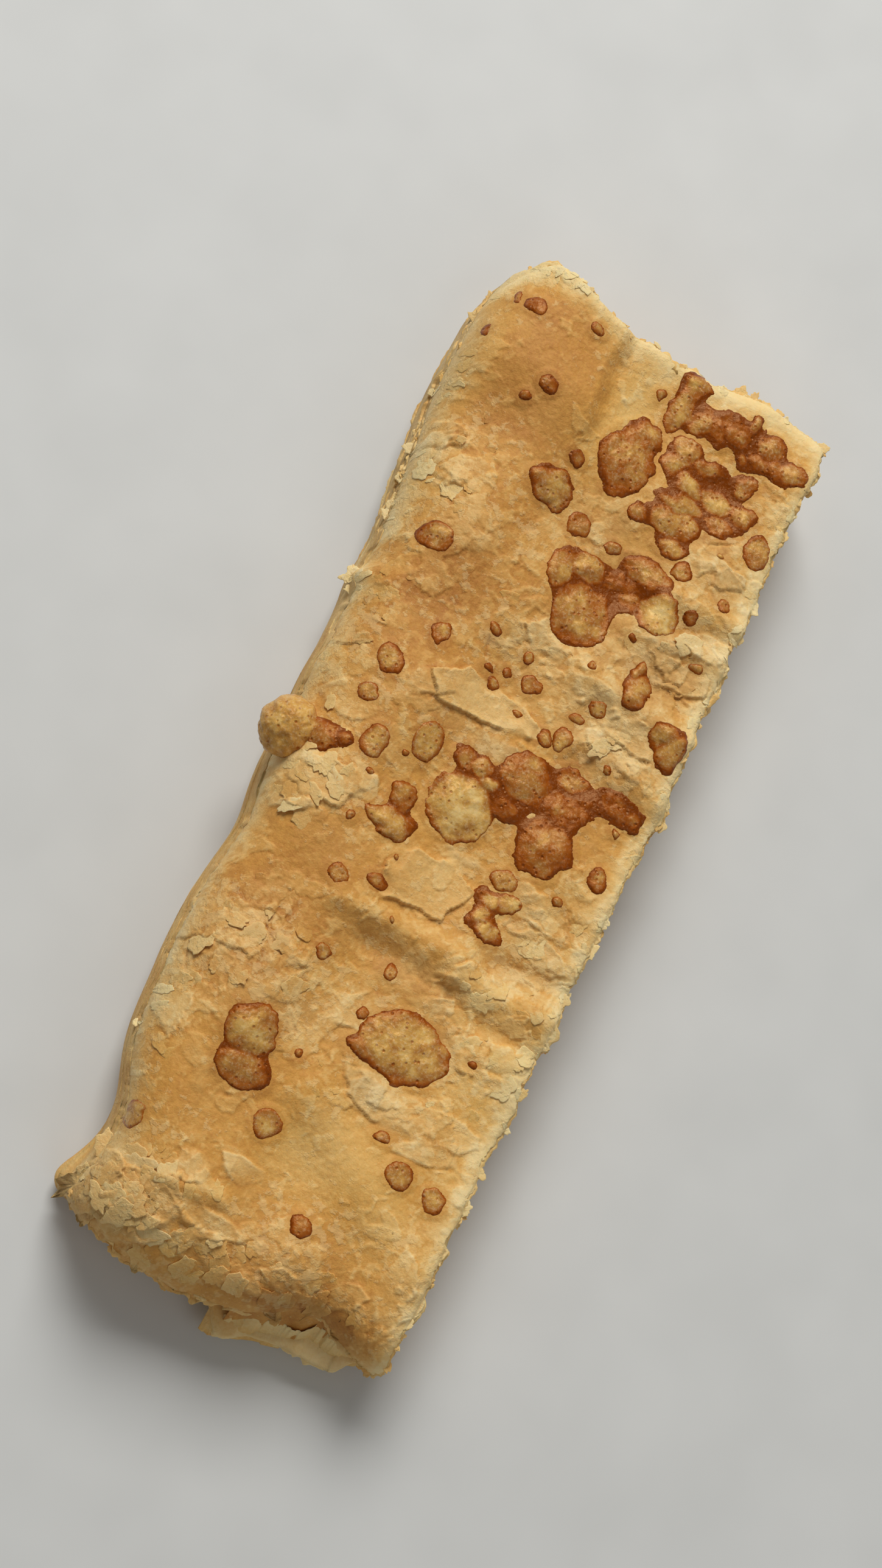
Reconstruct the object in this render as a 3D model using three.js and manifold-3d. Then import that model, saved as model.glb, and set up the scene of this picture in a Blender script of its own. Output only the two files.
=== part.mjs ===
// A baked cheese puff pastry: a folded strip of layered dough with cheese melted over its crust.
// Millimetres, +Z up, origin under the middle of the strip, +Y along it towards the far end.
import * as THREE from "three";
import { mergeVertices } from "three/addons/utils/BufferGeometryUtils.js";
import Module from "manifold-3d";

// Driving dimensions of the strip
const LENGTH = 147.6; // straight run of the near end to that of the far end
const WIDTH = 51; // folded edge to cut edge, away from their swells
const CRUST_HEIGHT = 16.5; // floor to the crust on the cut side
const ROLL_RISE = 4.5; // how much higher the folded side stands
const ROLL_AT = -14; // where the folded side is highest, across the strip
const ROLL_REACH = 11;
const LIP_RISE = 1.6; // step where the folded-over flap ends, at the far end only
const LIP_AT = -6.3;
const LIP_FROM = 50;
const FLOOR_INSET = 1.8; // the underside is drawn in by this much, as a baked base is

// Layers of dough that show on the walls
const LEAF_RELIEF = 0.7;
const GAP_DEPTH = 3.2; // the torn gap under the crust at the near end
const TEAR = [14.5, 8, 4.4]; // where the crust is torn back over the gap: [where, reach, size]
const LEDGE_OUT = 0.3; // under the tear the lower layers reach past the line of the end by this much
const FLAP_OUT = 2.6; // one torn flap of them reaches further
const FLAP_AT = 4;
const CORNER_OUT = 2; // the bottom sheet shows at the near left corner
const UNDERCUT = 2; // the rest of the near end is drawn in towards the floor by this much

// Melted cheese
const CHEESE_GAP = 0.3; // between the cheese and the crust under it
const FILM_RISE = 0.35; // melted cheese is this thick at least over its gap
const SWELL_SHARE = 0.55; // and steam has swollen each lobe by this share of its swell
const RUN_TOGETHER = 0.5; // neighbouring lobes have run into each other by this much
const DROPLET_RISE = 0.8;
const RIM_STEEPNESS = 0.6; // 1 is a plain ellipsoid, less makes a flatter top and a steeper rim
const WIDE_LOBE = 3.5; // half breadth from which a lobe gets the finest mesh
const SMALL_LOBE = 2.2; // half breadth up to which it gets the coarsest
const WIDE_DETAIL = 3;
const LOBE_DETAIL = 2;
const SMALL_DETAIL = 1;

// Mesh steps
const ACROSS_STEPS = 24;
const ALONG_STEPS = 62;
const WALL_STEPS = 7;

// Each edge is a straight line with soft bumps: [where, reach, size], size along +X or +Y
const LEFT_EDGE = {
  start: 1 - WIDTH / 2,
  slope: 0,
  bumps: [[58, 20, -3], [23, 1.7, -1.2], [9, 3, -0.5], [-15, 7, 1.4], [-60, 11, 4.6]],
};
const RIGHT_EDGE = {
  start: 1 + WIDTH / 2,
  slope: 0.012,
  bumps: [[60, 8, -0.6], [10, 10, 0.9], [-35, 2.6, 0.5], [-50, 12, -0.4]],
};
const NEAR_EDGE = {
  start: -0.7 - LENGTH / 2,
  slope: 0,
  bumps: [[-24, 6, 5], [-14, 4, 0.6], TEAR, [28, 5, 1]],
};
const FAR_EDGE = {
  start: -0.7 + LENGTH / 2,
  slope: 0,
  bumps: [[-20, 5.5, 2.6], [-28, 5, -4], [-8, 6, -0.7], [16.5, 4, 0.9], [29, 3, -2.5]],
};
const RAGGED = { left: 0.08, right: 0.2, near: 0.25, far: 0.22 };
const LAYER_RAGGED = 0.22; // each layer on the walls is torn in its own way

// How the crust rounds down to each wall: [drop, reach]
const SHOULDERS = { left: [7, 6.5], right: [1.4, 2.2], near: [7.5, 9], far: [1.4, 2.2] };

// Puckers of the crust, ridges and valleys: [from x, from y, to x, to y, rise, breadth]
const PUCKERS = [
  [12, 40, 27, 40.5, 0.9, 2],
  [11, 33.5, 27, 34.5, 0.9, 2],
  [9, 24, 26, 22, 1.1, 2.2],
  [12, 14.5, 26, 12.5, 0.8, 2],
  [-8, -20, 12, -19.5, 1, 2],
  [-2, -23.5, 11, -24, -0.7, 1.7],
  [13, -18.5, 26, -17, -0.9, 1.7],
  [11, -22.5, 26, -21.5, 0.9, 1.8],
  [17, -26.5, 26, -27, -0.8, 1.6],
  [0.5, -45, 22, -59.5, 1.1, 4],
  [-12, -63, -4, -62, 0.7, 1.3],
];

// Thin sheets of crust that have lifted: [x, y, half length, half breadth, turn in degrees, rise]
const SHEETS = [
  [-2, 13.5, 8.5, 3.2, 0, 0.6],
  [2, -12.5, 6.5, 4.5, 10, 0.6],
  [18, 19.5, 6, 2.6, -15, 0.6],
  [20, 30, 6, 2.5, 5, 0.5],
  [-16, -7, 5, 3.5, 20, 0.5],
  [10, -41, 7, 3, -12, 0.4],
  [-14, -66, 6, 4, 15, 0.6],
];

// Cheese that lies in patches, each made of lobes: [x, y, half breadth, half length, swell]
const PATCHES = {
  cheese_far_cluster: [
    [4.9, 67, 2, 5, 1.6], [5.5, 70.6, 2.3, 1.8, 1.5], [8.6, 66, 2.3, 2.4, 1.4], [11.6, 66.3, 2, 2.6, 1.2],
    [14, 66.8, 2.4, 2.2, 1.2], [15.4, 69.2, 1.1, 1.7, 1.2], [16.2, 63.9, 1.2, 1.5, 1.2],
    [19.3, 67.6, 2.3, 2.2, 1.6], [18.3, 64.8, 2.6, 1.7, 1.2], [21.3, 65, 1.6, 1.5, 1.2],
    [23.8, 65.4, 2.3, 2, 1.5],
  ],
  cheese_far_domes: [
    [8.3, 61.2, 2.2, 2, 1.4], [7.6, 58.4, 2, 2.6, 1.4], [12.6, 60.2, 2.9, 1.5, 1.2],
    [18, 60.6, 1.9, 1.9, 1.2], [11, 56.4, 2.3, 1.9, 1.4], [15.6, 56.3, 2.7, 2, 1.4],
    [19.6, 56, 2.3, 1.9, 1.5], [17, 53.2, 2.8, 1.4, 1.1],
    [10.5, 53.4, 4, 1.5, 1.3], [11, 50.2, 4, 2.4, 1.7], [5.8, 48.7, 1.4, 1.6, 1.1], [12.2, 46.8, 2.5, 1.6, 1],
  ],
  cheese_far_round: [[1.1, 55.2, 4.3, 5.9, 2], [2.2, 60, 2.6, 2.3, 1.6]],
  cheese_teardrop: [[-6.6, 45.2, 3.2, 2.5, 1.7], [-6.5, 47, 1.6, 1.6, 1.3], [-9, 45.5, 1.6, 1.4, 1.2]],
  cheese_twin: [
    [2.8, 38.2, 3.2, 2.2, 1.6], [-0.6, 36, 1.9, 3.5, 1.4], [6.9, 33.9, 1.8, 2.5, 1.3],
    [4.9, 31.5, 4.6, 4.7, 1.7],
    [10.6, 41.7, 3.9, 2.2, 1.6], [8, 38.7, 3.4, 1.7, 1.1], [10, 36.9, 2, 1.7, 1.1], [14.8, 37.1, 3.2, 3, 1.9],
  ],
  cheese_ridge_drop: [[16.5, 24.9, 2.5, 3, 1.6], [15.4, 28.4, 1.2, 1.8, 1.1]],
  cheese_right_edge: [[22.3, 21.3, 2, 2.3, 1.3], [24.4, 19.3, 1.8, 2.9, 1.5]],
  cheese_middle: [
    [1.2, -1.3, 4.9, 4.6, 2], [-0.9, 5.3, 1.7, 1.9, 1.2], [1.8, 5.4, 1.6, 1.7, 1.2],
    [3.8, 3.4, 2.1, 1.5, 1.3],
    [8.2, 6.8, 4.3, 3.7, 2], [7, 1.6, 2.5, 1.8, 1.1], [14.2, -0.8, 4.4, 4.5, 2], [13.6, 10, 2.5, 1.9, 1],
    [14.4, 5.6, 3.6, 2.6, 1.3], [20.8, 9.2, 3.8, 2, 1.2], [23.8, 8.8, 1.6, 1.5, 1.1], [17.4, 7.8, 2, 1.2, 1],
  ],
  cheese_side_drop: [[-6.5, -7.5, 3.8, 2.3, 1.8], [-6.2, -3.6, 1.8, 2.2, 1.2]],
  cheese_hook: [
    [13, -9.8, 2.2, 1.2, 1.2], [10.4, -10.6, 1.5, 1.4, 1.2],
    [10.2, -12.9, 1.6, 2, 1.2], [12.2, -14.6, 2.6, 1.4, 1.2],
  ],
  cheese_oval: [[9, -33.8, 6.5, 4.7, 2.2], [3.4, -36.2, 2, 1.4, 1.3]],
  cheese_near_left: [[-10.5, -41, 3.7, 3.6, 1.9], [-9.2, -45.9, 3.8, 2.6, 1.3]],
};

// Patches that reach over an edge of the crust, and the way they hang out
const OVERHANGS = { cheese_right_edge: [1, 0], cheese_far_cluster: [0, 1] };

// The blister that hangs over the folded edge: [x, y, z, half breadth, half length, half height]
const BLISTER = [
  [-24.1, -1.7, 16, 4.2, 4.3, 3.8],
  [-19.2, -1, 18.9, 3, 2, 1.6],
];

// Droplets of cheese baked onto the crust: [x, y, half breadth, half length]
const DROPLETS = [
  [23.8, 52.4, 2, 2.8], [-6.7, 4.5, 2.2, 3], [-18.2, 30.6, 2.7, 2], [-13, 1.1, 2, 2.3], [-1, 42.9, 2, 2],
  [-16.2, 12, 1.9, 2.2], [-3.1, -50.8, 2.1, 2], [15.5, -49, 2, 1.9],
  [21.1, -50, 1.8, 1.7], [11.2, -7.1, 2, 1.5],
  [-20.2, 67.5, 1.7, 1.3], [-13.8, 57.5, 1.5, 1.5], [-5.6, 51.2, 1.4, 1],
  [15.1, 44.3, 1.6, 1.5], [2.8, 19.3, 1.6, 1.5],
  [-11.5, 18.8, 1.4, 1.8], [10.3, 14.3, 1.4, 1.8], [7.8, 13.4, 1.3, 1.3],
  [22.7, -1.4, 1.5, 1.5], [12.7, 20.4, 1.3, 1.3],
  [-9.5, -17.4, 1.7, 1.2], [-4.4, -15.8, 1.5, 1.1], [6.8, -60.5, 1.6, 1.5],
  [11.4, -45.4, 1.5, 1], [-16.6, 6.8, 1.5, 1.2],
  [-6.4, -27.3, 1.2, 1.2], [18.9, 38.9, 1.1, 1.1], [-2.2, 16.7, 1.1, 0.9],
  [2.6, -25.2, 1.1, 1.1], [4.9, 42.6, 1.1, 1],
  [22.7, 42.6, 1, 1], [-5.2, 23.1, 1, 1], [0.8, 22.5, 1, 1], [1.8, -32, 1, 1], [-20.2, -57.2, 1.5, 2],
];

const bumpSum = (t, bumps) =>
  bumps.reduce((sum, [at, reach, size]) => sum + size * Math.exp(-(((t - at) / reach) ** 2)), 0);

// Uneven torn edge, the same at every height
const torn = (t) => Math.sin(1.3 * t + 0.7) + 0.6 * Math.sin(2.9 * t + 2.1);

function edge(line, t, ragged) {
  return line.start + line.slope * t + bumpSum(t, line.bumps) + ragged * torn(t);
}

const leftEdge = (y) => edge(LEFT_EDGE, y, RAGGED.left);
const rightEdge = (y) => edge(RIGHT_EDGE, y, RAGGED.right);
const nearEdge = (x) => edge(NEAR_EDGE, x, RAGGED.near);
const farEdge = (x) => edge(FAR_EDGE, x, RAGGED.far);

// A quarter round: the full drop at the edge and none at the reach
function shoulder(distance, [drop, reach]) {
  const inward = 1 - THREE.MathUtils.clamp(distance / reach, 0, 1);
  return drop * (1 - Math.sqrt(1 - inward * inward));
}

function puckerHeight(x, y, [fromX, fromY, toX, toY, rise, breadth]) {
  const runX = toX - fromX;
  const runY = toY - fromY;
  const along = THREE.MathUtils.clamp(
    ((x - fromX) * runX + (y - fromY) * runY) / (runX * runX + runY * runY), 0, 1);
  const distance = Math.hypot(x - fromX - along * runX, y - fromY - along * runY);
  return rise * Math.exp(-((distance / breadth) ** 2));
}

function sheetHeight(x, y, [atX, atY, halfLength, halfBreadth, turn, rise]) {
  const angle = THREE.MathUtils.degToRad(turn);
  const along = (x - atX) * Math.cos(angle) + (y - atY) * Math.sin(angle);
  const across = (y - atY) * Math.cos(angle) - (x - atX) * Math.sin(angle);
  const reach = Math.hypot(along / halfLength, across / halfBreadth);
  return rise * (1 - THREE.MathUtils.smoothstep(reach, 0.75, 1.1));
}

// Height of the crust over the floor at any place on the strip
function crustHeight(x, y) {
  const lengthwise = 0.82 + 0.18 * THREE.MathUtils.smoothstep(y, 15, 55)
    - 0.4 * (1 - THREE.MathUtils.smoothstep(y, -72, -40));
  const roll = ROLL_RISE * lengthwise * Math.exp(-(((x - ROLL_AT) / ROLL_REACH) ** 2));
  const lip = LIP_RISE * THREE.MathUtils.smoothstep(LIP_AT - x, -1, 1)
    * THREE.MathUtils.smoothstep(y, LIP_FROM, LIP_FROM + 10);
  const swell = 0.35 * Math.sin(0.27 * y + 0.11 * x) + 0.25 * Math.sin(0.41 * x - 0.16 * y + 1);
  const puckers = PUCKERS.reduce((sum, pucker) => sum + puckerHeight(x, y, pucker), 0);
  const sheets = SHEETS.reduce((sum, sheet) => sum + sheetHeight(x, y, sheet), 0);
  const drop = shoulder(x - leftEdge(y), SHOULDERS.left) + shoulder(rightEdge(y) - x, SHOULDERS.right)
    + shoulder(y - nearEdge(x), SHOULDERS.near) + shoulder(farEdge(x) - y, SHOULDERS.far);
  return CRUST_HEIGHT + roll + lip + swell + puckers + sheets - drop;
}

// A place on the crust from the share of the way across and along
function crustPoint(across, along) {
  const guess = THREE.MathUtils.lerp(leftEdge(0), rightEdge(0), across);
  const y = THREE.MathUtils.lerp(nearEdge(guess), farEdge(guess), along);
  const x = THREE.MathUtils.lerp(leftEdge(y), rightEdge(y), across);
  return new THREE.Vector3(x, y, crustHeight(x, y));
}

// How far the wall stands out from the crust's edge: down runs from 0 at the crust to 1 at the floor
function wallOut(place, outward, row, down) {
  const left = Math.max(0, -outward.x);
  const near = Math.max(0, -outward.y);
  const bulge = (0.9 * left + 0.3) * Math.sin(Math.PI * down);
  const leaf = LEAF_RELIEF * (1 - 0.7 * left) * (row % 2 === 0 ? 1 : -1) * Math.sin(Math.PI * down);
  const ledgeSpan = THREE.MathUtils.smoothstep(place.x, 0, 4)
    * (1 - THREE.MathUtils.smoothstep(place.x, 20, 24));
  const gap = near * ledgeSpan * GAP_DEPTH * Math.exp(-(((down - 0.25) / 0.1) ** 2));
  const reach = LEDGE_OUT + bumpSum(place.x, [TEAR])
    + FLAP_OUT * Math.exp(-(((place.x - FLAP_AT) / 3) ** 2));
  const ledge = near * ledgeSpan * reach * THREE.MathUtils.smoothstep(down, 0.35, 0.55);
  const undercut = near * (1 - ledgeSpan) * UNDERCUT * down;
  const layerEdge = LAYER_RAGGED * (1 - 0.7 * left) * Math.sin(Math.PI * down)
    * torn(place.x - 0.8 * place.y + 2.6 * row);
  const corner = Math.exp(-((place.x + 22) ** 2 + (place.y + 67) ** 2) / 40);
  const sheet = CORNER_OUT * corner * THREE.MathUtils.smoothstep(down, 0.5, 0.7);
  const inset = FLOOR_INSET * THREE.MathUtils.smoothstep(down, 0.8, 1);
  return bulge + leaf + layerEdge - gap + ledge - undercut + sheet - inset;
}

// Border of the crust grid, anticlockwise from the near left corner, as [column, row] pairs
function borderCells() {
  const cells = [];
  for (let column = 0; column < ACROSS_STEPS; column += 1) cells.push([column, 0]);
  for (let row = 0; row < ALONG_STEPS; row += 1) cells.push([ACROSS_STEPS, row]);
  for (let column = ACROSS_STEPS; column > 0; column -= 1) cells.push([column, ALONG_STEPS]);
  for (let row = ALONG_STEPS; row > 0; row -= 1) cells.push([0, row]);
  return cells;
}

// Outward direction at a border cell; a corner takes the mean of its two sides
function outwardAt([column, row]) {
  const sideways = column === 0 ? -1 : column === ACROSS_STEPS ? 1 : 0;
  const lengthways = row === 0 ? -1 : row === ALONG_STEPS ? 1 : 0;
  return new THREE.Vector2(sideways, lengthways).normalize();
}

// The dough as one closed surface: the crust, rows of wall under its border, and the flat underside
function doughGeometry() {
  const points = [];
  const triangles = [];
  const columns = ACROSS_STEPS + 1;
  for (let row = 0; row <= ALONG_STEPS; row += 1) {
    for (let column = 0; column <= ACROSS_STEPS; column += 1) {
      points.push(crustPoint(column / ACROSS_STEPS, row / ALONG_STEPS));
    }
  }
  for (let row = 0; row < ALONG_STEPS; row += 1) {
    for (let column = 0; column < ACROSS_STEPS; column += 1) {
      const corner = row * columns + column;
      const opposite = corner + columns + 1;
      triangles.push(corner, corner + 1, opposite, corner, opposite, corner + columns);
    }
  }
  const border = borderCells();
  let upper = border.map(([column, row]) => row * columns + column);
  const top = upper;
  for (let wallRow = 1; wallRow <= WALL_STEPS; wallRow += 1) {
    const down = wallRow / WALL_STEPS;
    const lower = border.map((cell, index) => {
      const place = points[top[index]];
      const outward = outwardAt(cell);
      const out = wallOut(place, outward, wallRow, down);
      const foot = place.clone();
      foot.x += out * outward.x;
      foot.y += out * outward.y;
      foot.z *= 1 - down;
      points.push(foot);
      return points.length - 1;
    });
    border.forEach((cell, index) => {
      const next = (index + 1) % border.length;
      triangles.push(upper[index], lower[index], lower[next], upper[index], lower[next], upper[next]);
    });
    upper = lower;
  }
  const floorLine = upper.map((index) => new THREE.Vector2(points[index].x, points[index].y));
  for (const [first, second, third] of THREE.ShapeUtils.triangulateShape(floorLine, [])) {
    triangles.push(upper[first], upper[third], upper[second]);
  }
  const geometry = new THREE.BufferGeometry().setFromPoints(points);
  geometry.setIndex(triangles);
  return geometry;
}

function unitBall(detail) {
  const ball = new THREE.OctahedronGeometry(1, detail);
  ball.deleteAttribute("normal");
  ball.deleteAttribute("uv");
  return mergeVertices(ball);
}

function lobeDetail(halfBreadth) {
  if (halfBreadth > WIDE_LOBE) return WIDE_DETAIL;
  return halfBreadth > SMALL_LOBE ? LOBE_DETAIL : SMALL_DETAIL;
}

// A ball squashed to a lobe with a steep rim and draped over the crust
function drapedLobe(x, y, halfBreadth, halfLength, rise, detail) {
  const ball = unitBall(detail);
  const place = ball.getAttribute("position");
  for (let index = 0; index < place.count; index += 1) {
    const atX = x + halfBreadth * place.getX(index);
    const atY = y + halfLength * place.getY(index);
    const height = place.getZ(index);
    const lift = rise * Math.sign(height) * Math.abs(height) ** RIM_STEEPNESS;
    place.setXYZ(index, atX, atY, crustHeight(atX, atY) + lift);
  }
  return ball;
}

const wasm = await Module();
wasm.setup();

function toSolid(geometry) {
  const mesh = new wasm.Mesh({
    numProp: 3,
    vertProperties: Float32Array.from(geometry.getAttribute("position").array),
    triVerts: Uint32Array.from(geometry.getIndex().array),
  });
  mesh.merge();
  return new wasm.Manifold(mesh);
}

// The largest body of a solid, so that a cut leaves no loose chips
function mainBody(solid) {
  const bodies = solid.decompose();
  return bodies.reduce((largest, body) => (body.volume() > largest.volume() ? body : largest));
}

function toMesh(name, solid, material) {
  const { vertProperties, triVerts } = solid.getMesh();
  const geometry = new THREE.BufferGeometry();
  geometry.setAttribute("position", new THREE.BufferAttribute(Float32Array.from(vertProperties), 3));
  geometry.setIndex(new THREE.BufferAttribute(Uint32Array.from(triVerts), 1));
  geometry.computeVertexNormals();
  const mesh = new THREE.Mesh(geometry, material);
  mesh.name = name;
  return mesh;
}

const crustMaterial = new THREE.MeshStandardMaterial({ color: 0xd3a566, roughness: 0.75, metalness: 0 });
const cheeseMaterial = new THREE.MeshStandardMaterial({ color: 0xb47c3a, roughness: 0.4, metalness: 0 });

const dough = toSolid(doughGeometry());
const raisedDough = dough.translate(0, 0, CHEESE_GAP);

// Small droplets are part of the pastry
const pastry = DROPLETS.reduce(
  (solid, [x, y, halfBreadth, halfLength]) =>
    solid.add(toSolid(drapedLobe(x, y, halfBreadth, halfLength, DROPLET_RISE, SMALL_DETAIL))),
  dough);

const group = new THREE.Group();
group.name = "cheese_puff_pastry";
group.add(toMesh("pastry", mainBody(pastry), crustMaterial));

for (const [name, lobes] of Object.entries(PATCHES)) {
  const patch = lobes
    .map(([x, y, halfBreadth, halfLength, swell]) => {
      const rise = CHEESE_GAP + FILM_RISE + SWELL_SHARE * swell;
      const detail = lobeDetail(halfBreadth);
      return toSolid(drapedLobe(x, y, halfBreadth + RUN_TOGETHER, halfLength + RUN_TOGETHER, rise, detail));
    })
    .reduce((whole, lobe) => whole.add(lobe))
    .subtract(raisedDough);
  const [outX, outY] = OVERHANGS[name] ?? [0, 0];
  const clear = patch.subtract(dough.translate(outX * CHEESE_GAP, outY * CHEESE_GAP, 0));
  group.add(toMesh(name, mainBody(clear), cheeseMaterial));
}

const blister = BLISTER
  .map(([x, y, z, halfBreadth, halfLength, halfHeight]) =>
    toSolid(unitBall(WIDE_DETAIL).scale(halfBreadth, halfLength, halfHeight).translate(x, y, z)))
  .reduce((whole, lobe) => whole.add(lobe))
  .subtract(raisedDough)
  .subtract(dough.translate(-CHEESE_GAP, 0, 0));
group.add(toMesh("cheese_left_blister", mainBody(blister), cheeseMaterial));

export default group;
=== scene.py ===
# %% [markdown]
# # Cheese puff pastry
# A strip of laminated dough, folded over on its left side, baked until the outer sheets lift and flake,
# with grated cheese that has melted and browned on top.
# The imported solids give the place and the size; the pieces below give the crust, the layers and the cheese.

import bpy
import numpy as np
from mathutils import Matrix, Vector


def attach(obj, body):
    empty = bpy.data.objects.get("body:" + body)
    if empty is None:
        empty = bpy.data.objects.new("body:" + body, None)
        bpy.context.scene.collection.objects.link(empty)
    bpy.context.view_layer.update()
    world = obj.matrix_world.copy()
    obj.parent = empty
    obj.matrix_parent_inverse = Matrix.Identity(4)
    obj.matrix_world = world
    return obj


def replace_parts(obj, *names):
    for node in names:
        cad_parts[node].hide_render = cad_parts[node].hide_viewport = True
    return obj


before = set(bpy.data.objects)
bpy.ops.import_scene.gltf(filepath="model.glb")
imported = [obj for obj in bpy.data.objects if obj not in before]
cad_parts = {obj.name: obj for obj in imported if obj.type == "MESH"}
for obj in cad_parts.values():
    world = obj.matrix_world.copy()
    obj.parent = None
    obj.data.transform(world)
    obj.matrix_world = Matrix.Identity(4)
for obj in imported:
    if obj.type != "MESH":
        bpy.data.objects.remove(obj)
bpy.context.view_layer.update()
MM = 0.001
print("solids:", len(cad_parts))

# %% [markdown]
# ## Noise
# Baked dough is uneven at every scale, from swells as broad as a finger to grains of flour.
# That could be sculpted by hand, but a formula can be asked at any point.
# Gradient noise gives one scale, a sum of them gives torn edges, and the nearest of a set of scattered
# seeds gives scales like those of crisp flakes. All draws are hashed from whole numbers, so each run is the same.

# %% Noise functions
def smoothstep(value, low, high):
    """3t² - 2t³ of the share of the way from low to high, held at 0 and 1 beyond."""
    t = np.clip((value - low) / (high - low), 0, 1)
    return t * t * (3 - 2 * t)


def hashed(column, row, seed):
    """Repeatable number from 0 to 1 for each cell: products with large primes, mixed by shifts."""
    mixed = (column * 374761393 + row * 668265263 + seed * 974711) & 0xFFFFFFFF
    mixed = ((mixed ^ (mixed >> 13)) * 1274126177) & 0xFFFFFFFF
    return ((mixed ^ (mixed >> 16)) & 0xFFFFFF) / 0xFFFFFF


def noise(x, y, cell, seed):
    """Gradient noise, about -1 to 1: a random slope at each lattice corner, blended smoothly."""
    column, row = np.floor(x / cell).astype(np.int64), np.floor(y / cell).astype(np.int64)
    part_x, part_y = x / cell - column, y / cell - row

    def slope(step_x, step_y):
        angle = 2 * np.pi * hashed(column + step_x, row + step_y, seed)
        return np.cos(angle) * (part_x - step_x) + np.sin(angle) * (part_y - step_y)

    share_x, share_y = smoothstep(part_x, 0, 1), smoothstep(part_y, 0, 1)
    near = slope(0, 0) * (1 - share_x) + slope(1, 0) * share_x
    far = slope(0, 1) * (1 - share_x) + slope(1, 1) * share_x
    return 1.5 * (near * (1 - share_y) + far * share_y)


def rough(x, y, cell, seed, octaves=4, keep=0.55):
    """Sum of noises, each with half the cell of the last and a kept share of its strength."""
    return sum(keep**step * noise(x, y, cell / 2**step, seed + step) for step in range(octaves))


def scales(x, y, cell, seed):
    """Cells round jittered seeds: the gap to the second nearest, the cell's number, the way from its seed."""
    column, row = np.floor(x / cell).astype(np.int64), np.floor(y / cell).astype(np.int64)
    first, second = np.full((2, *x.shape), 9.0)
    number, way_x, way_y = np.zeros((3, *x.shape))
    for step_x in (-1, 0, 1):
        for step_y in (-1, 0, 1):
            apart_x = x / cell - column - step_x - hashed(column + step_x, row + step_y, seed)
            apart_y = y / cell - row - step_y - hashed(column + step_x, row + step_y, seed + 1)
            distance = np.hypot(apart_x, apart_y)
            nearer = distance < first
            second = np.where(nearer, first, np.minimum(second, distance))
            first = np.where(nearer, distance, first)
            number = np.where(nearer, hashed(column + step_x, row + step_y, seed + 2), number)
            way_x, way_y = np.where(nearer, apart_x, way_x), np.where(nearer, apart_y, way_y)
    return (second - first) * cell, number, way_x * cell, way_y * cell


# %% [markdown]
# ## Form of the strip
# The same form as the solid, in millimetres: four edges that are straight lines with soft bumps, a roll along
# the folded side, the lip of the flap, puckers across the cut side, and a quarter round down to each wall.

# %% Sizes of the strip
LENGTH = 147.6
WIDTH = 51.0
CRUST_HEIGHT = 16.5
ROLL_RISE, ROLL_AT, ROLL_REACH = 4.5, -14.0, 11.0
LIP_RISE, LIP_AT, LIP_FROM = 1.6, -6.3, 50.0
FLOOR_INSET = 1.8
LEAF_RELIEF = 0.7
GAP_DEPTH, LEDGE_OUT, FLAP_OUT, FLAP_AT, CORNER_OUT, UNDERCUT = 3.2, 0.3, 2.6, 4.0, 2.0, 2.0
TEAR = (14.5, 8, 4.4)

# Each edge: where it starts, its slope, its torn roughness, and bumps of (where, reach, size)
LEFT_EDGE = (1 - WIDTH / 2, 0, 0.35, [
    (58, 20, -3), (23, 1.7, -1.2), (9, 3, -0.5), (-15, 7, 1.4), (-60, 11, 4.6)])
RIGHT_EDGE = (0.8 + WIDTH / 2, 0.012, 0.85, [(60, 8, -0.6), (10, 10, 0.9), (-35, 2.6, 0.5), (-50, 12, -0.4)])
NEAR_EDGE = (-0.7 - LENGTH / 2, 0, 0.7, [(-24, 6, 5), (-14, 4, 0.6), TEAR, (28, 5, 1)])
FAR_EDGE = (-0.8 + LENGTH / 2, 0, 0.9, [
    (-20, 5.5, 2.6), (-28, 5, -4), (-8, 6, -0.7), (16.5, 4, 0.9), (29, 3, -2.5)])

# Drop and reach of the quarter round to each wall
LEFT_ROUND, RIGHT_ROUND, NEAR_ROUND, FAR_ROUND = (7, 6.5), (0.9, 1.6), (7.5, 9), (1.3, 2.0)

# Ridges and valleys: from x, from y, to x, to y, rise, breadth
PUCKERS = [
    (12, 40, 27, 40.5, 0.9, 2), (11, 33.5, 27, 34.5, 0.9, 2), (9, 24, 26, 22, 1.1, 2.2),
    (12, 14.5, 26, 12.5, 0.8, 2), (-8, -20, 12, -19.5, 1, 2), (-2, -23.5, 11, -24, -0.7, 1.7),
    (13, -18.5, 26, -17, -0.9, 1.7), (11, -22.5, 26, -21.5, 0.9, 1.8), (17, -26.5, 26, -27, -0.8, 1.6),
    (0.5, -45, 22, -59.5, 1.1, 4), (-12, -63, -4, -62, 0.7, 1.3),
]


# %% Form functions
def notched(t, cell, seed):
    """Steps of random height from -0.5 to 0.5, one to a cell, joined by short slopes."""
    place = t / cell + 0.3 * noise(t, 0 * t, 0.7 * cell, seed)
    column = np.floor(place).astype(np.int64)
    turn = smoothstep(place - column, 0.85, 1)
    return hashed(column, 0, seed) * (1 - turn) + hashed(column + 1, 0, seed) * turn - 0.5


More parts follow.
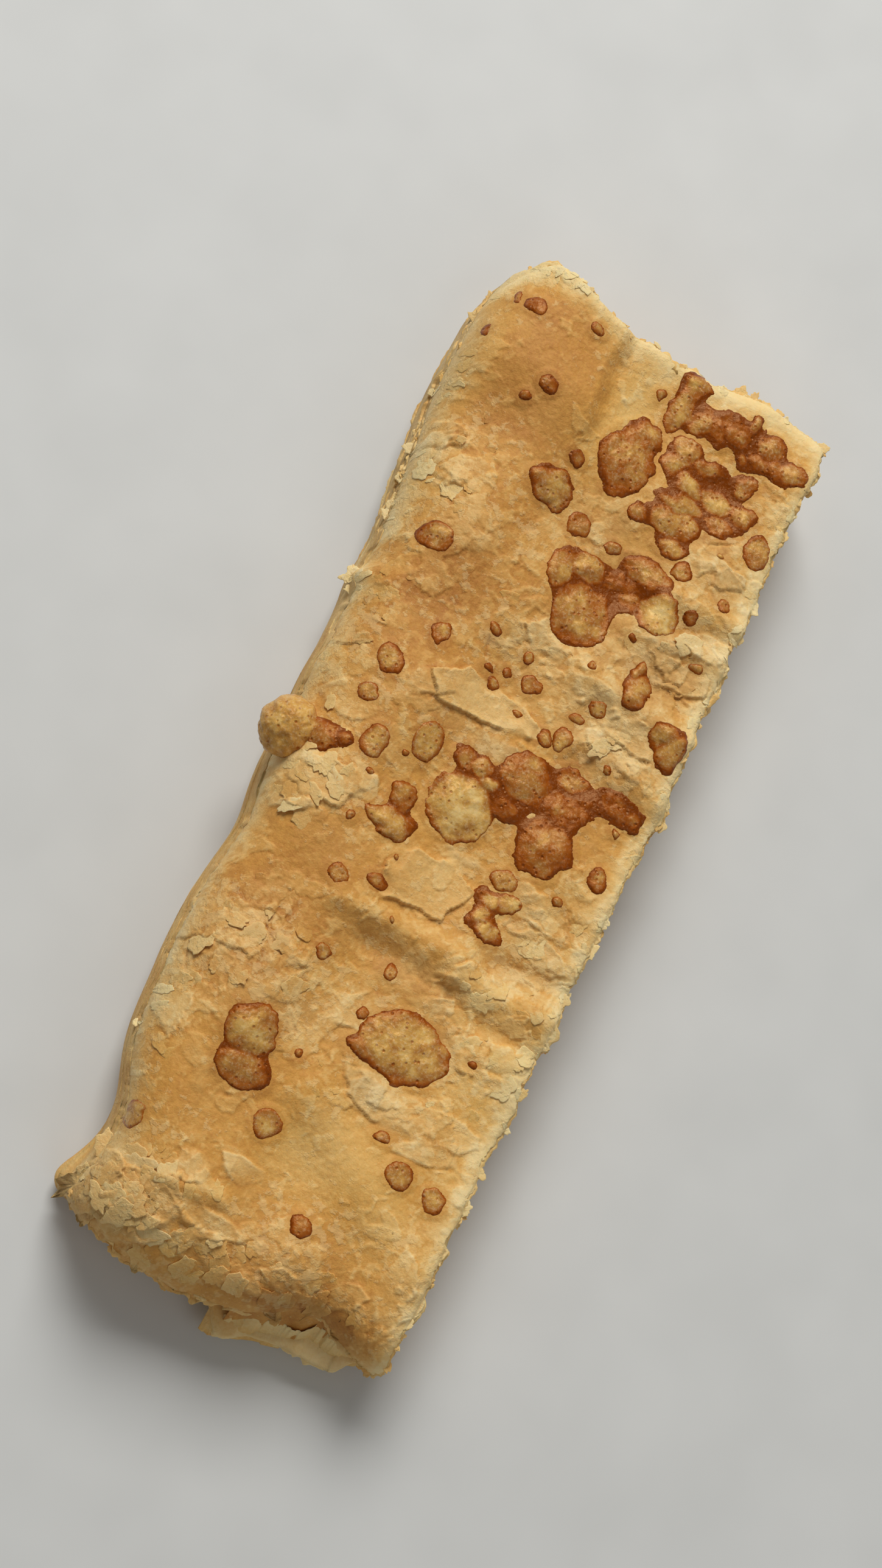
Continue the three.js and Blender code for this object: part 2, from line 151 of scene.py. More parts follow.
def edge(line, t, tearing=1.0):
    """Straight line, plus torn roughness, plus bumps: size times e to minus (distance over reach) squared."""
    start, slope, ragged, bumps = line
    t = np.asarray(t, float)
    torn = 0.6 * rough(t, 50.0 * start + 0 * t, 6, 3, 5, 0.7)
    torn = torn + notched(t, 3.6, int(start)) + 0.5 * notched(t, 1.3, 9)
    swell = sum(size * np.exp(-((t - at) / reach) ** 2) for at, reach, size in bumps)
    return start + slope * t + tearing * ragged * torn + swell


def shoulder(distance, drop_and_reach):
    """Quarter round: the full drop at the edge, none at the reach."""
    drop, reach = drop_and_reach
    inward = 1 - np.clip(distance / reach, 0, 1)
    return drop * (1 - np.sqrt(1 - inward**2))


def pucker(x, y, from_x, from_y, to_x, to_y, rise, breadth):
    """Rise times e to minus the square of the distance to a straight run over its breadth."""
    run_x, run_y = to_x - from_x, to_y - from_y
    along = np.clip(((x - from_x) * run_x + (y - from_y) * run_y) / (run_x**2 + run_y**2), 0, 1)
    apart_x, apart_y = x - from_x - along * run_x, y - from_y - along * run_y
    return rise * np.exp(-((apart_x**2 + apart_y**2) / breadth**2))


def crust_form(x, y):
    """Height of the crust over the floor, without its sheets and flakes."""
    lengthwise = 0.82 + 0.18 * smoothstep(y, 15, 55) - 0.4 * (1 - smoothstep(y, -72, -40))
    roll = ROLL_RISE * lengthwise * np.exp(-(((x - ROLL_AT) / ROLL_REACH) ** 2))
    on_lip = LIP_AT + 1.1 * noise(x, y, 5, 51) - x
    lip = LIP_RISE * smoothstep(on_lip, -1.4, 1.4) * smoothstep(y, LIP_FROM, LIP_FROM + 10)
    swell = 0.35 * np.sin(0.27 * y + 0.11 * x) + 0.25 * np.sin(0.41 * x - 0.16 * y + 1)
    drop = (shoulder(x - edge(LEFT_EDGE, y, 0), LEFT_ROUND) + shoulder(edge(RIGHT_EDGE, y, 0) - x, RIGHT_ROUND)
            + shoulder(y - edge(NEAR_EDGE, x, 0), NEAR_ROUND) + shoulder(edge(FAR_EDGE, x, 0) - y, FAR_ROUND))
    return CRUST_HEIGHT + roll + lip + swell + sum(pucker(x, y, *one) for one in PUCKERS) - drop


def oval_reach(x, y, at_x, at_y, half_breadth, half_length):
    """0 at the middle of an oval, 1 on its outline."""
    return np.hypot((x - at_x) / half_breadth, (y - at_y) / half_length)


# %% [markdown]
# ## Cheese on the crust
# Each patch of melted cheese is a few lobes that have run together; small drops have set on their own.
# The lobes are those of the solids, with one more number: how far each has browned, from 0 to 1.

# %% Lobes and drops
# x, y, half breadth, half length, rise, browning
PATCHES = {
    "cheese_far_cluster": [
        (4.9, 67, 2, 5, 1.6, 0.4), (5.5, 70.6, 2.3, 1.8, 1.5, 0.45), (8.6, 66, 2.3, 2.4, 1.4, 0.42),
        (11.6, 66.3, 2, 2.6, 1.2, 0.75), (14, 66.8, 2.4, 2.2, 1.2, 0.8), (15.4, 69.2, 1.1, 1.7, 1.2, 0.6),
        (16.2, 63.9, 1.2, 1.5, 1.2, 0.5), (19.3, 67.6, 2.3, 2.2, 1.6, 0.5), (18.3, 64.8, 2.6, 1.7, 1.2, 0.78),
        (21.3, 65, 1.6, 1.5, 1.2, 0.65), (23.8, 65.4, 2.3, 2, 1.5, 0.42)],
    "cheese_far_domes": [
        (8.3, 61.2, 2.2, 2, 1.4, 0.36), (7.6, 58.4, 2, 2.6, 1.4, 0.4), (12.6, 60.2, 2.9, 1.5, 1.2, 0.5),
        (18, 60.6, 1.9, 1.9, 1.2, 0.6), (11, 56.4, 2.3, 1.9, 1.4, 0.32), (15.6, 56.3, 2.7, 2, 1.4, 0.3),
        (19.6, 56, 2.3, 1.9, 1.5, 0.45), (17, 53.2, 2.8, 1.4, 1.1, 0.6), (10.5, 53.4, 4, 1.5, 1.3, 0.36),
        (11, 50.2, 4, 2.4, 1.7, 0.44), (5.8, 48.7, 1.4, 1.6, 1.1, 0.6), (12.2, 46.8, 2.5, 1.6, 1, 0.45)],
    "cheese_far_round": [(1.1, 55.2, 4.3, 5.9, 2, 0.53), (2.2, 60, 2.6, 2.3, 1.6, 0.52)],
    "cheese_teardrop": [
        (-6.6, 45.2, 3.2, 2.5, 1.7, 0.36), (-6.5, 47, 1.6, 1.6, 1.3, 0.4), (-9, 45.5, 1.6, 1.4, 1.2, 0.55)],
    "cheese_twin": [
        (2.8, 38.2, 3.2, 2.2, 1.6, 0.42), (-0.6, 36, 1.9, 3.5, 1.4, 0.42), (6.9, 33.9, 1.8, 2.5, 1.3, 0.66),
        (4.9, 31.5, 4.6, 4.7, 1.7, 0.48), (10.6, 41.7, 3.9, 2.2, 1.6, 0.48), (8, 38.7, 3.4, 1.7, 1.1, 0.8),
        (10, 36.9, 2, 1.7, 1.1, 0.66), (14.8, 37.1, 3.2, 3, 1.9, 0.16)],
    "cheese_ridge_drop": [(16.5, 24.9, 2.5, 3, 1.6, 0.42), (15.4, 28.4, 1.2, 1.8, 1.1, 0.55)],
    "cheese_right_edge": [(22.3, 21.3, 2, 2.3, 1.3, 0.42), (24.4, 19.3, 1.8, 2.9, 1.5, 0.42)],
    "cheese_middle": [
        (1.2, -1.3, 4.9, 4.6, 2, 0.16), (-0.9, 5.3, 1.7, 1.9, 1.2, 0.45), (1.8, 5.4, 1.6, 1.7, 1.2, 0.42),
        (3.8, 3.4, 2.1, 1.5, 1.3, 0.3), (8.2, 6.8, 4.3, 3.7, 2, 0.56), (7, 1.6, 2.5, 1.8, 1.1, 0.82),
        (14.2, -0.8, 4.4, 4.5, 2, 0.6), (13.6, 10, 2.5, 1.9, 1, 0.45), (14.4, 5.6, 3.6, 2.6, 1.3, 0.8),
        (20.8, 9.2, 3.8, 2, 1.2, 0.8), (23.8, 8.8, 1.6, 1.5, 1.1, 0.7), (17.4, 7.8, 2, 1.2, 1, 0.86)],
    "cheese_side_drop": [(-6.5, -7.5, 3.8, 2.3, 1.8, 0.32), (-6.2, -3.6, 1.8, 2.2, 1.2, 0.5)],
    "cheese_hook": [
        (13, -9.8, 2.2, 1.2, 0.8, 0.24), (10.4, -10.6, 1.5, 1.4, 0.8, 0.26), (10.2, -12.9, 1.6, 2, 0.8, 0.26),
        (12.2, -14.6, 2.6, 1.4, 0.8, 0.26)],
    "cheese_oval": [(9, -33.8, 6.5, 4.7, 2.2, 0.3), (3.4, -36.2, 2, 1.4, 1.3, 0.6)],
    "cheese_near_left": [(-10.5, -41, 3.7, 3.6, 1.9, 0.32), (-9.2, -45.9, 3.8, 2.6, 1.3, 0.52)],
}
# x, y, half breadth, half length, browning
DROPLETS = [
    (23.8, 52.4, 2, 2.8, 0.5), (-6.7, 4.5, 2.2, 3, 0.35), (-18.2, 30.6, 2.7, 2, 0.6),
    (-13, 1.1, 2, 2.3, 0.4), (-1, 42.9, 2, 2, 0.6), (-16.2, 12, 1.9, 2.2, 0.5),
    (-3.1, -50.8, 2.1, 2, 0.4), (15.5, -49, 2, 1.9, 0.5), (21.1, -50, 1.8, 1.7, 0.45),
    (11.2, -7.1, 2, 1.5, 0.3), (-20.2, 67.5, 1.7, 1.3, 0.85), (-13.8, 57.5, 1.5, 1.5, 0.7),
    (-5.6, 51.2, 1.4, 1, 0.6), (15.1, 44.3, 1.6, 1.5, 0.6), (2.8, 19.3, 1.6, 1.5, 0.6),
    (-11.5, 18.8, 1.4, 1.8, 0.6), (10.3, 14.3, 1.4, 1.8, 0.5), (7.8, 13.4, 1.3, 1.3, 0.6),
    (22.7, -1.4, 1.8, 1.6, 0.7), (12.7, 20.4, 1.3, 1.3, 0.6), (-9.5, -17.4, 1.7, 1.2, 0.5),
    (-4.4, -15.8, 1.5, 1.1, 0.5), (6.8, -60.5, 1.6, 1.5, 0.8), (11.4, -45.4, 1.5, 1, 0.6),
    (-16.6, 6.8, 1.5, 1.2, 0.45), (-6.4, -27.3, 1.2, 1.2, 0.45), (18.9, 38.9, 1.1, 1.1, 0.6),
    (-2.2, 16.7, 1.1, 0.9, 0.55), (2.6, -25.2, 1.1, 1.1, 0.65), (4.9, 42.6, 1.1, 1, 0.65),
    (22.7, 42.6, 1, 1, 0.6), (-5.2, 23.1, 1, 1, 0.5), (0.8, 22.5, 1, 1, 0.55), (1.8, -32, 1, 1, 0.6),
    (-19.3, -57, 1.5, 1.8, 0.3), (-3.5, 18.1, 0.9, 0.6, 0.55), (-0.8, 19.1, 0.7, 0.8, 0.5),
    (10.8, 17.8, 1, 0.7, 0.6), (2.8, 14.5, 0.65, 0.65, 0.4), (17.5, 13.2, 0.6, 0.6, 0.6),
    (-3.5, -41, 0.75, 0.75, 0.6), (18.1, -31.7, 0.6, 0.6, 0.55), (-11.8, -9.5, 0.8, 0.8, 0.65),
    (-3.2, -11.5, 0.55, 0.55, 0.6), (-0.1, -19.3, 0.5, 0.5, 0.6), (22.9, 32.6, 0.9, 0.65, 0.5),
    (12.7, 32, 0.7, 0.7, 0.6), (9.2, 25.8, 0.75, 0.75, 0.6), (-16, 54.5, 0.85, 0.85, 0.6),
    (-25, 62, 0.7, 1.1, 0.75), (-22.9, 68.2, 0.6, 1.2, 0.75), (-11.1, 68.6, 1.1, 1, 0.35),
    (1.4, 66.8, 0.75, 0.75, 0.5), (19.2, 49.6, 0.5, 0.5, 0.6), (19, -6.4, 0.9, 0.8, 0.6),
    (22, 6.2, 0.6, 0.6, 0.6), (-8.7, 1.6, 0.6, 0.6, 0.55), (-12.1, -2.7, 0.5, 0.5, 0.55),
]


def cheese_cover(x, y):
    """1 where cheese lies and just round it, falling to 0 over the next millimetre."""
    nearest = np.full(np.shape(x), 9.0)
    for lobe in [lobe for lobes in PATCHES.values() for lobe in lobes] + DROPLETS:
        at_x, at_y, half_breadth, half_length = lobe[:4]
        gap = (oval_reach(x, y, at_x, at_y, half_breadth, half_length) - 1) * min(half_breadth, half_length)
        nearest = np.minimum(nearest, gap)
    return 1 - smoothstep(nearest, 0.1, 1.1)


# %% [markdown]
# ## Crust
# The outer skin bakes smooth and golden. In many places paler, floury sheets lie over it, and some parts have
# dried out dull. Each sheet could be a mesh of its own, but hundreds of thin meshes would cross, so they are worked
# out as one height over the form. A large sheet is a plate with six straight breaks, roughened by noise; then come
# peeled layers with torn outlines, and shards. Each is a step as thick as a sheet, with a pale lip at its edge, partly
# the thin edge's own colour and partly a painted highlight, and painted shade just outside. The tone runs from 0,
# pale, to 1, brown.

# %% Sheets and tone of the crust
# Soft spots, each x, y, reach across, reach along, amount. Browner above 0 and paler below
# Some are painted shade: the thin lines along the lip at (-5.7, 61) and at its foot at (-14, 50), the valleys between
# wrinkles at (17, 32) and (20, 28), and the trough behind the lifted sheet at (15, -69.5).
BROWN_PLACES = [
    (-15, 60, 10, 13, 0.14), (-5.7, 61, 0.8, 9, 0.03), (-14, 50, 9, 1.5, 0.06), (-10, -52, 12, 10, 0.05),
    (4, -65, 16, 5, 0.08), (-1.6, 64, 3.6, 9, -0.36), (3, -12, 8, 5, -0.06), (22, -33, 6, 12, -0.24),
    (-25, 50, 3, 20, -0.12), (25.5, 30, 2.5, 40, -0.14), (-18, 73, 8, 2.5, -0.2), (14, 72, 14, 2.5, -0.2),
    (-12, 30, 8, 14, 0.1), (10, -50, 12, 7, -0.1), (-12, -14, 8, 4, 0.08), (-16, -26, 9, 8, 0.1),
    (17, 32, 8, 8, 0.1), (-14, 5, 8, 8, 0.05), (15, -69.5, 8, 2.5, 0.24), (2, 74, 30, 2.5, -0.15),
    (2, -52, 5, 5, -0.04), (6, -45, 20, 20, -0.04), (7, -40, 4, 3, -0.1), (-4, 13.5, 8, 3, -0.08),
    (-18, -31, 7, 8, 0.22), (-17, 24, 7, 9, 0.17), (-11, 41, 6, 6, 0.07), (20, 28, 4, 3, 0.12),
    (2, -52, 6, 5, -0.06), (-22, -70, 3.5, 3, 0.25),
]
# More scraps above 0 and bare skin below
SCRAP_PLACES = [
    (-18, -6, 7, 5, 0.8), (-16, -31, 9, 8, 0.6), (-22, -40, 4, 8, 0.5), (-17, -66, 8, 7, 0.3),
    (2, -13, 9, 6, -0.2), (16, -14, 9, 6, 0.5), (4, 26, 6, 4, 0.6), (18, 32, 9, 8, 0.45),
    (18, 18, 8, 6, 0.6), (8, -41, 5, 4, 0.6), (20, -33, 6, 5, 0.4), (-20, 40, 5, 9, 0.6),
    (-14, 35, 6, 5, 0.6), (-3, 44, 7, 5, 0.4), (-22, 22, 5, 8, 0.4), (-14, 60, 9, 12, -0.9),
    (8, -51, 12, 8, -0.9), (-14, -15, 8, 5, -0.5), (-12, -52, 9, 6, -0.4), (3, -66, 16, 4, 0.5),
    (-1, 65, 5, 8, -0.7), (-25, 40, 3, 30, 0.3), (-24, -30, 3.5, 30, 0.3),
]
# Dull, dried out
DULL_PLACES = [
    (17, 30, 9, 17, 0.4), (-27, 55, 3.5, 25, 0.5), (-26, -40, 3, 25, 0.2), (-18, -64, 5, 6, 0.15),
    (16, 16, 9, 4, 0.3), (2, 45, 6, 4, 0.3), (-6, -36, 5, 2, 0.4), (0, 22, 6, 4, 0.3),
    (18, -17, 6, 3, 0.3), (5, -24, 8, 3, 0.35), (-21, -69, 3, 3, 0.5),
]
# Sheets that lie on the skin: x, y, half length, half breadth, turn in degrees, paleness, dullness, thickness
TOP_SHEETS = [
    (0, 8.6, 10, 1.8, 0, 0.1, 0.75, 0.15), (-2, 13.5, 8.5, 3.2, 0, 1, 0, 0.6),
    (-10, 12, 3.5, 2.2, 20, 0.6, 0.2, 0.3), (2, -12.5, 6.5, 4.5, 10, 0.5, 0, 0.6),
    (18, 19.5, 6, 2.6, -15, 0.6, 0.3, 0.6), (20, 30, 6, 2.5, 5, 0.4, 0.4, 0.5),
    (-16, -7, 5, 3.5, 20, 0.8, 0.1, 0.5), (10, -41, 7, 3, -12, 0.3, 0.3, 0.4),
    (-14, -66, 6, 4, 15, 0.7, 0.2, 0.6), (-19, 41, 3, 2.5, 0, 0.6, 0, 0.25),
    (-13.5, 32.5, 2.6, 1.6, 20, 0.7, 0, 0.25), (-24, 42, 1.8, 4, 0, 0.6, 0.1, 0.2),
    (2, 43.5, 2.4, 1.5, 0, 0.8, 0.2, 0.25), (18, 47, 5, 2, -10, 0.6, 0.4, 0.3),
    (22.5, 45.5, 3, 2.6, 0, 0.3, 0.5, 0.3), (23, 36, 3.6, 2.2, 10, 0.7, 0.2, 0.3),
    (16, 32, 5, 2.2, 10, 0.3, 0.5, 0.3), (2.5, 26.5, 4, 2.6, 20, 0.9, 0.1, 0.35),
    (12, 22, 5, 2, -10, 0.5, 0.4, 0.3), (17, 16, 6, 2.2, -12, 0.5, 0.3, 0.3),
    (-18.5, 5, 4, 2.6, 0, 0.5, 0, 0.25), (-12.5, -5, 3.6, 2.2, 10, 0.8, 0.1, 0.3),
    (-21.5, -5.5, 3, 3.6, 20, 0.6, 0, 0.3), (-20, -11, 3, 1.8, 0, 0.9, 0, 0.3),
    (4, -7.2, 4, 1.1, 0, 0.8, 0.4, 0.25), (18, -9, 5.5, 2.4, -15, 0.6, 0.1, 0.3),
    (20, -14, 4.6, 1.8, -10, 0.5, 0.2, 0.3), (17, -19, 3, 1.2, 30, 0.9, 0.3, 0.25),
    (1.5, -32, 4.2, 2.8, 0, 0.8, 0.1, 0.3), (9.5, -27, 3.6, 1.4, 15, 0.7, 0.2, 0.25),
    (-17, -32, 5.5, 4.6, 0, 0.4, 0, 0.25), (-21, -42, 2.6, 4, 0, 0.6, 0, 0.25),
    (7, -41.5, 2.6, 2.4, 0, 0.1, 0.7, 0.2), (17.5, -45, 4.6, 1.5, 10, 0.9, 0, 0.3),
    (20, -41, 3.6, 2, 0, 0.5, 0, 0.2), (-3.5, -57.5, 3.6, 1.5, -10, 0.9, 0, 0.3),
    (-18.5, -61, 2.6, 4, 10, 0.7, 0.3, 0.35), (-12, -69.5, 4, 1.8, 5, 0.8, 0.2, 0.35),
    (-21, -68, 2.4, 2.4, 0, 0.4, 0.5, 0.3), (-19.5, -65, 2.4, 3.2, 10, 0.5, 0.4, 0.6),
    (-16.5, -67.5, 2.2, 2.8, -10, 0.8, 0.2, 0.6), (-14, -71, 2.6, 1.8, 0, 0.7, 0.2, 0.5),
    (-5, -65.5, 5, 2.2, 5, 0.4, 0.1, 0.3), (9, -68, 4, 1.8, -15, 0.4, 0, 0.3),
    (2, -70, 4.6, 1.5, 0, 0.5, 0, 0.3), (21.5, -62, 2.6, 5.5, 0, 0.5, 0, 0.2),
    (-9, -60, 2.6, 2, 30, 0.6, 0.1, 0.3), (16, -66, 3, 2, 20, 0.4, 0, 0.25),
]
# Cracks in the outer skin: from x, from y, to x, to y
CRACKS = [
    (-14.4, -22.5, -14.6, -28), (-14.6, -28, -11.8, -30.5), (-22.5, -35, -21.6, -37.5),
    (-24.2, 43.5, -22.8, 40), (-5.4, 22, -4.8, 19.5), (-20.5, -61, -20, -66),
]


def places(x, y, table):
    """Sum of soft spots, each amount times e to minus the square of the distance over its reaches."""
    return sum(amount * np.exp(-(((x - at_x) / reach_x) ** 2 + ((y - at_y) / reach_y) ** 2))
               for at_x, at_y, reach_x, reach_y, amount in table)


# Peeled layers over all of the skin: size of the pieces, seed, thickness, paleness
PEELS = [(6.5, 301, 0.13, 0.07), (3.2, 311, 0.06, 0.06), (1.6, 321, 0.03, 0.04)]
# Broken sheets that lie as shards: size, seed, thickness
SHARDS = [(4.6, 401, 0.24), (2.4, 411, 0.16)]
# Where they lie: x, y, reach across, reach along, share
SHARD_PLACES = [
    (17, 33, 9, 14, 0.55), (19, 15, 8, 7, 0.6), (18, -14, 8, 10, 0.6), (17, -31, 9, 7, 0.35),
    (-16, -66, 8, 6, 0.3), (3, -68, 15, 4, 0.25), (3, 25, 7, 5, 0.5), (-17, -7, 8, 5, 0.4),
    (-16, -31, 8, 7, 0.3), (7, -41, 7, 4, 0.5), (-20, 40, 6, 10, 0.3), (20, 50, 6, 8, 0.3),
    (-22, 20, 5, 10, 0.3),
]


def plate_inside(x, y, at_x, at_y, half_length, half_breadth, turn, seed):
    """About the distance in mm inside a broken plate: the least of the distances to six straight breaks."""
    angle = np.radians(turn)
    along = ((x - at_x) * np.cos(angle) + (y - at_y) * np.sin(angle)) / half_length
    across = ((y - at_y) * np.cos(angle) - (x - at_x) * np.sin(angle)) / half_breadth
    inside = np.full(x.shape, 9.0)
    for side in range(6):
        way = np.pi / 3 * (side + 0.8 * hashed(side, seed, 7))
        away = 0.75 + 0.3 * hashed(side, seed, 8)
        slope = np.hypot(np.cos(way) / half_length, np.sin(way) / half_breadth)
        inside = np.minimum(inside, (away - along * np.cos(way) - across * np.sin(way)) / slope)
    return inside


def peel(x, y, cell, seed, cover):
    """About the distance in mm to torn outlines, above 0 on the sheet: warped noise and cover."""
    warp_x = 0.4 * cell * rough(x, y, cell, seed + 20, 3)
    warp_y = 0.4 * cell * rough(x, y, cell, seed + 30, 3)
    return 0.45 * cell * (rough(x + warp_x, y + warp_y, cell, seed, 4, 0.5) + cover)


SKIN_TONE = 0.47
THICK_PLATE = 0.45  # in mm; thicker plates are whole, and fewer peeled layers lie on them


def lay_plates(x, y, crust, skin, ragged):
    """Lays the broken plates, each a step with a pale lip, partly a painted highlight, and painted shade outside;
    gives where thick ones lie.
    """
    fade = 0.13 + 0.9 * (1 - smoothstep(noise(x, y, 5, 101), -0.55, -0.1))
    covered = 0
    for number, (at_x, at_y, half_length, half_breadth, turn, pale, dry, thick) in enumerate(TOP_SHEETS):
        size = min(half_length, half_breadth)
        inside = plate_inside(x, y, at_x, at_y, half_length, half_breadth, turn, number)
        inside = inside + 0.2 * size**0.6 * ragged
        facing = ((x - at_x) * np.cos(2.4 * number) + (y - at_y) * np.sin(2.4 * number)) / size
        held = np.maximum(thick > THICK_PLATE, 0.3 + 0.7 * smoothstep(facing, -1, 0.4))
        whole = smoothstep(inside, -fade, fade) * held
        torn = (0.14 / fade) * np.exp(-((inside / 0.45) ** 2))
        tone, dull, floury = crust["tone"], crust["dull"], crust["floury"]
        # Pale lip just inside each edge: partly the thin edge's own colour and partly a painted highlight. Darker band
        # just outside: painted shade.
        tone = tone + whole * (skin - 0.14 * pale - tone) - 0.07 * pale * torn * whole
        crust["tone"] = tone + (0.08 + 0.2 * np.clip(thick - 0.3, 0, None)) * torn * (1 - whole)
        crust["floury"] = floury + whole * (0.2 + 0.5 * pale - floury) + 0.2 * torn * whole
        crust["dull"] = dull + 0.8 * whole * (np.maximum(dry, 0.5 * dull) - dull)
        crust["height"] = crust["height"] + thick * (0.85 * whole + 0.3 * torn * whole)
        covered = np.maximum(covered, whole * (thick > THICK_PLATE))
    return covered


def lay_peels(x, y, crust, cover):
    """Lays the peeled layers, each a step with a pale lip along its torn outline, partly a painted highlight, and
    painted shade outside.
    """
    for cell, seed, thick, pale in PEELS:
        inside = peel(x, y, cell, seed, cover)
        soft = 0.12 + 0.5 * (1 - smoothstep(noise(x, y, 1.5 * cell, seed + 40), -0.5, 0))
        whole = smoothstep(inside, -soft, soft)
        torn = (0.12 / soft) * np.exp(-((inside / 0.4) ** 2))
        # Pale lip inside the outline: partly the thin edge's own colour and partly a painted highlight. Darker band
        # outside: painted shade.
        crust["tone"] = crust["tone"] - pale * (whole - 0.3) - 0.05 * torn * whole + 0.06 * torn * (1 - whole)
        crust["floury"] = crust["floury"] + 0.15 * whole + 0.12 * torn * whole
        crust["height"] = crust["height"] + thick * (whole + 0.4 * torn * whole)


def lay_shards(x, y, crust):
    """Lays shards: cells of scattered seeds, a share of them kept, each tilted and toned by its number, with painted
    shade just outside.
    """
    share = places(x, y, SHARD_PLACES)
    for cell, seed, thick in SHARDS:
        bend_x = 0.2 * cell * rough(x, y, 3, seed + 5, 3)
        bend_y = 0.2 * cell * rough(x, y, 3, seed + 6, 3)
        gap, number, way_x, way_y = scales(0.65 * x + 0.3 * y + bend_x, y - 0.25 * x + bend_y, cell, seed)
        whole = (number < share) * smoothstep(gap, 0, 0.3)
        torn = (number < share) * np.exp(-((gap / 0.5) ** 2))
        tilt = 0.09 * (way_x * np.cos(60 * number) + way_y * np.sin(60 * number))
        # The darker band just outside each shard is painted shade.
        crust["tone"] = crust["tone"] + whole * 0.09 * (np.cos(90 * number) - 0.3) + 0.06 * torn * (1 - whole)
        crust["floury"] = crust["floury"] + 0.08 * whole
        crust["height"] = crust["height"] + whole * (thick * (0.6 + 0.4 * np.sin(70 * number)) + tilt)


def crease(x, y, crust, ragged, clear):
    """Wrinkles across the cut side, from stretched noise, paler on their crests as painted light, and cracks as narrow
    valleys, darkened with painted shade.
    """
    wrinkle = rough(0.4 * x + 0.2 * y, y + 0.6 * ragged, 3.4, 45, 3) * smoothstep(x, 4, 14)
    wrinkle = wrinkle * (1 - smoothstep(y, 46, 54)) * smoothstep(y, -40, -25)
    crust["height"] = crust["height"] + 0.12 * wrinkle * clear
    # Paler on the wrinkles' crests: painted light.
    crust["tone"] = crust["tone"] - 0.04 * wrinkle
    for one in CRACKS:
        crack = pucker(x + 0.4 * ragged, y, *one, 1.0, 0.2)
        crust["height"] = crust["height"] - 0.25 * crack
        # Darker in the cracks: painted shade.
        crust["tone"] = crust["tone"] + 0.25 * crack


# %% Detail of the crust
def crust_detail(x, y):
    """Height over the form in mm, and the numbers that colour the crust."""
    clear = 1 - cheese_cover(x, y)
    ragged = rough(x, y, 3.2, 71, 5, 0.62)
    left, right = x - edge(LEFT_EDGE, y) + 1, edge(RIGHT_EDGE, y) - x
    near, far = y - edge(NEAR_EDGE, x) + 3, 0.6 * (edge(FAR_EDGE, x) - y)
    inward = np.clip(np.minimum.reduce([left, right, near, far]), 0, None) + 0.5 * ragged
    ridges = sum(pucker(x, y, *one) for one in PUCKERS)
    skin = SKIN_TONE + places(x, y, BROWN_PLACES) + 0.07 * rough(x, y, 16, 5, 3)
    # The ridges term is painted light and shade: paler over the puckers' ridges, browner in their valleys.
    skin = skin + 0.08 * (1 - clear) - 0.06 * ridges - 0.42 * np.exp(-((inward / 1.9) ** 2))
    floury = 0.12 + 0.12 * rough(x, y, 8, 11, 3) + 0.45 * np.exp(-((inward / 2.2) ** 2))
    dull = places(x, y, DULL_PLACES) * (0.75 + 0.6 * rough(x, y, 6, 7, 3))
    crust = {"height": 0.07 * rough(x, y, 1.3, 97, 3), "tone": skin, "floury": floury, "dull": dull}
    scrappy = places(x, y, SCRAP_PLACES)
    covered = lay_plates(x, y, crust, skin, ragged)
    lay_peels(x, y, crust, 0.5 * scrappy - 0.3 - 0.5 * covered)
    lay_shards(x, y, crust)
    crust["height"] = (crust["height"] - 0.2) * clear
    crease(x, y, crust, ragged, clear)
    dull, floury = np.clip(crust["dull"], 0, 1), np.clip(crust["floury"], 0, 1)
    flaky = 0.1 * rough(x, y, 13, 29, 3) + 0.1 * scrappy
    return crust["height"], {"tone": crust["tone"], "dull": dull, "floury": floury, "flaky": flaky}


# %% [markdown]
# ## Making pieces
# Every piece is a set of points and faces worked out as whole arrays. A piece takes named numbers for its points,
# which the materials read, so that browning follows the shape and not the place of the camera.

# %% Piece maker
def make_piece(name, points, faces, numbers, material):
    """Mesh object from points in mm, arrays of faces (one row each), and named numbers per point."""
    mesh = bpy.data.meshes.new(name)
    mesh.vertices.add(len(points))
    mesh.vertices.foreach_set("co", (np.asarray(points, float) * MM).ravel())
    corners = np.concatenate([rows.ravel() for rows in faces])
    counts = np.concatenate([np.full(len(rows), rows.shape[1]) for rows in faces])
    mesh.loops.add(len(corners))
    mesh.loops.foreach_set("vertex_index", corners.astype(np.int32))
    mesh.polygons.add(len(counts))
    mesh.polygons.foreach_set("loop_start", (np.cumsum(counts) - counts).astype(np.int32))
    mesh.polygons.foreach_set("use_smooth", np.ones(len(counts), bool))
    for key, values in numbers.items():
        layer = mesh.attributes.new(key, "FLOAT", "POINT")
        layer.data.foreach_set("value", np.asarray(values, np.float32).ravel())
    mesh.update(calc_edges=True)
    piece = bpy.data.objects.new(name, mesh)
    bpy.context.scene.collection.objects.link(piece)
    mesh.materials.append(material)
    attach(piece, "root")
    print(f"{name}: {len(points)} points, {int((counts - 2).sum())} triangles")
    return piece


def grid_faces(rows, columns):
    """Quads of a grid of points stored row by row, facing up where columns run along +X and rows along +Y."""
    corner = (np.arange(rows - 1)[:, None] * columns + np.arange(columns - 1)).ravel()
    return np.stack([corner, corner + 1, corner + columns + 1, corner + columns], -1)


def band_faces(upper, lower):
    """Quads between two closed loops of points, facing out where the loops run anticlockwise from above."""
    return np.stack([upper, lower, np.roll(lower, -1), np.roll(upper, -1)], -1)


# %% [markdown]
# ## Materials
# The crust's colour follows its tone; cheese follows how far it has browned and how close its rim is, where it is
# thin, dark and clear. Fine grain comes from noise at the size of flour and of the pores that steam leaves.

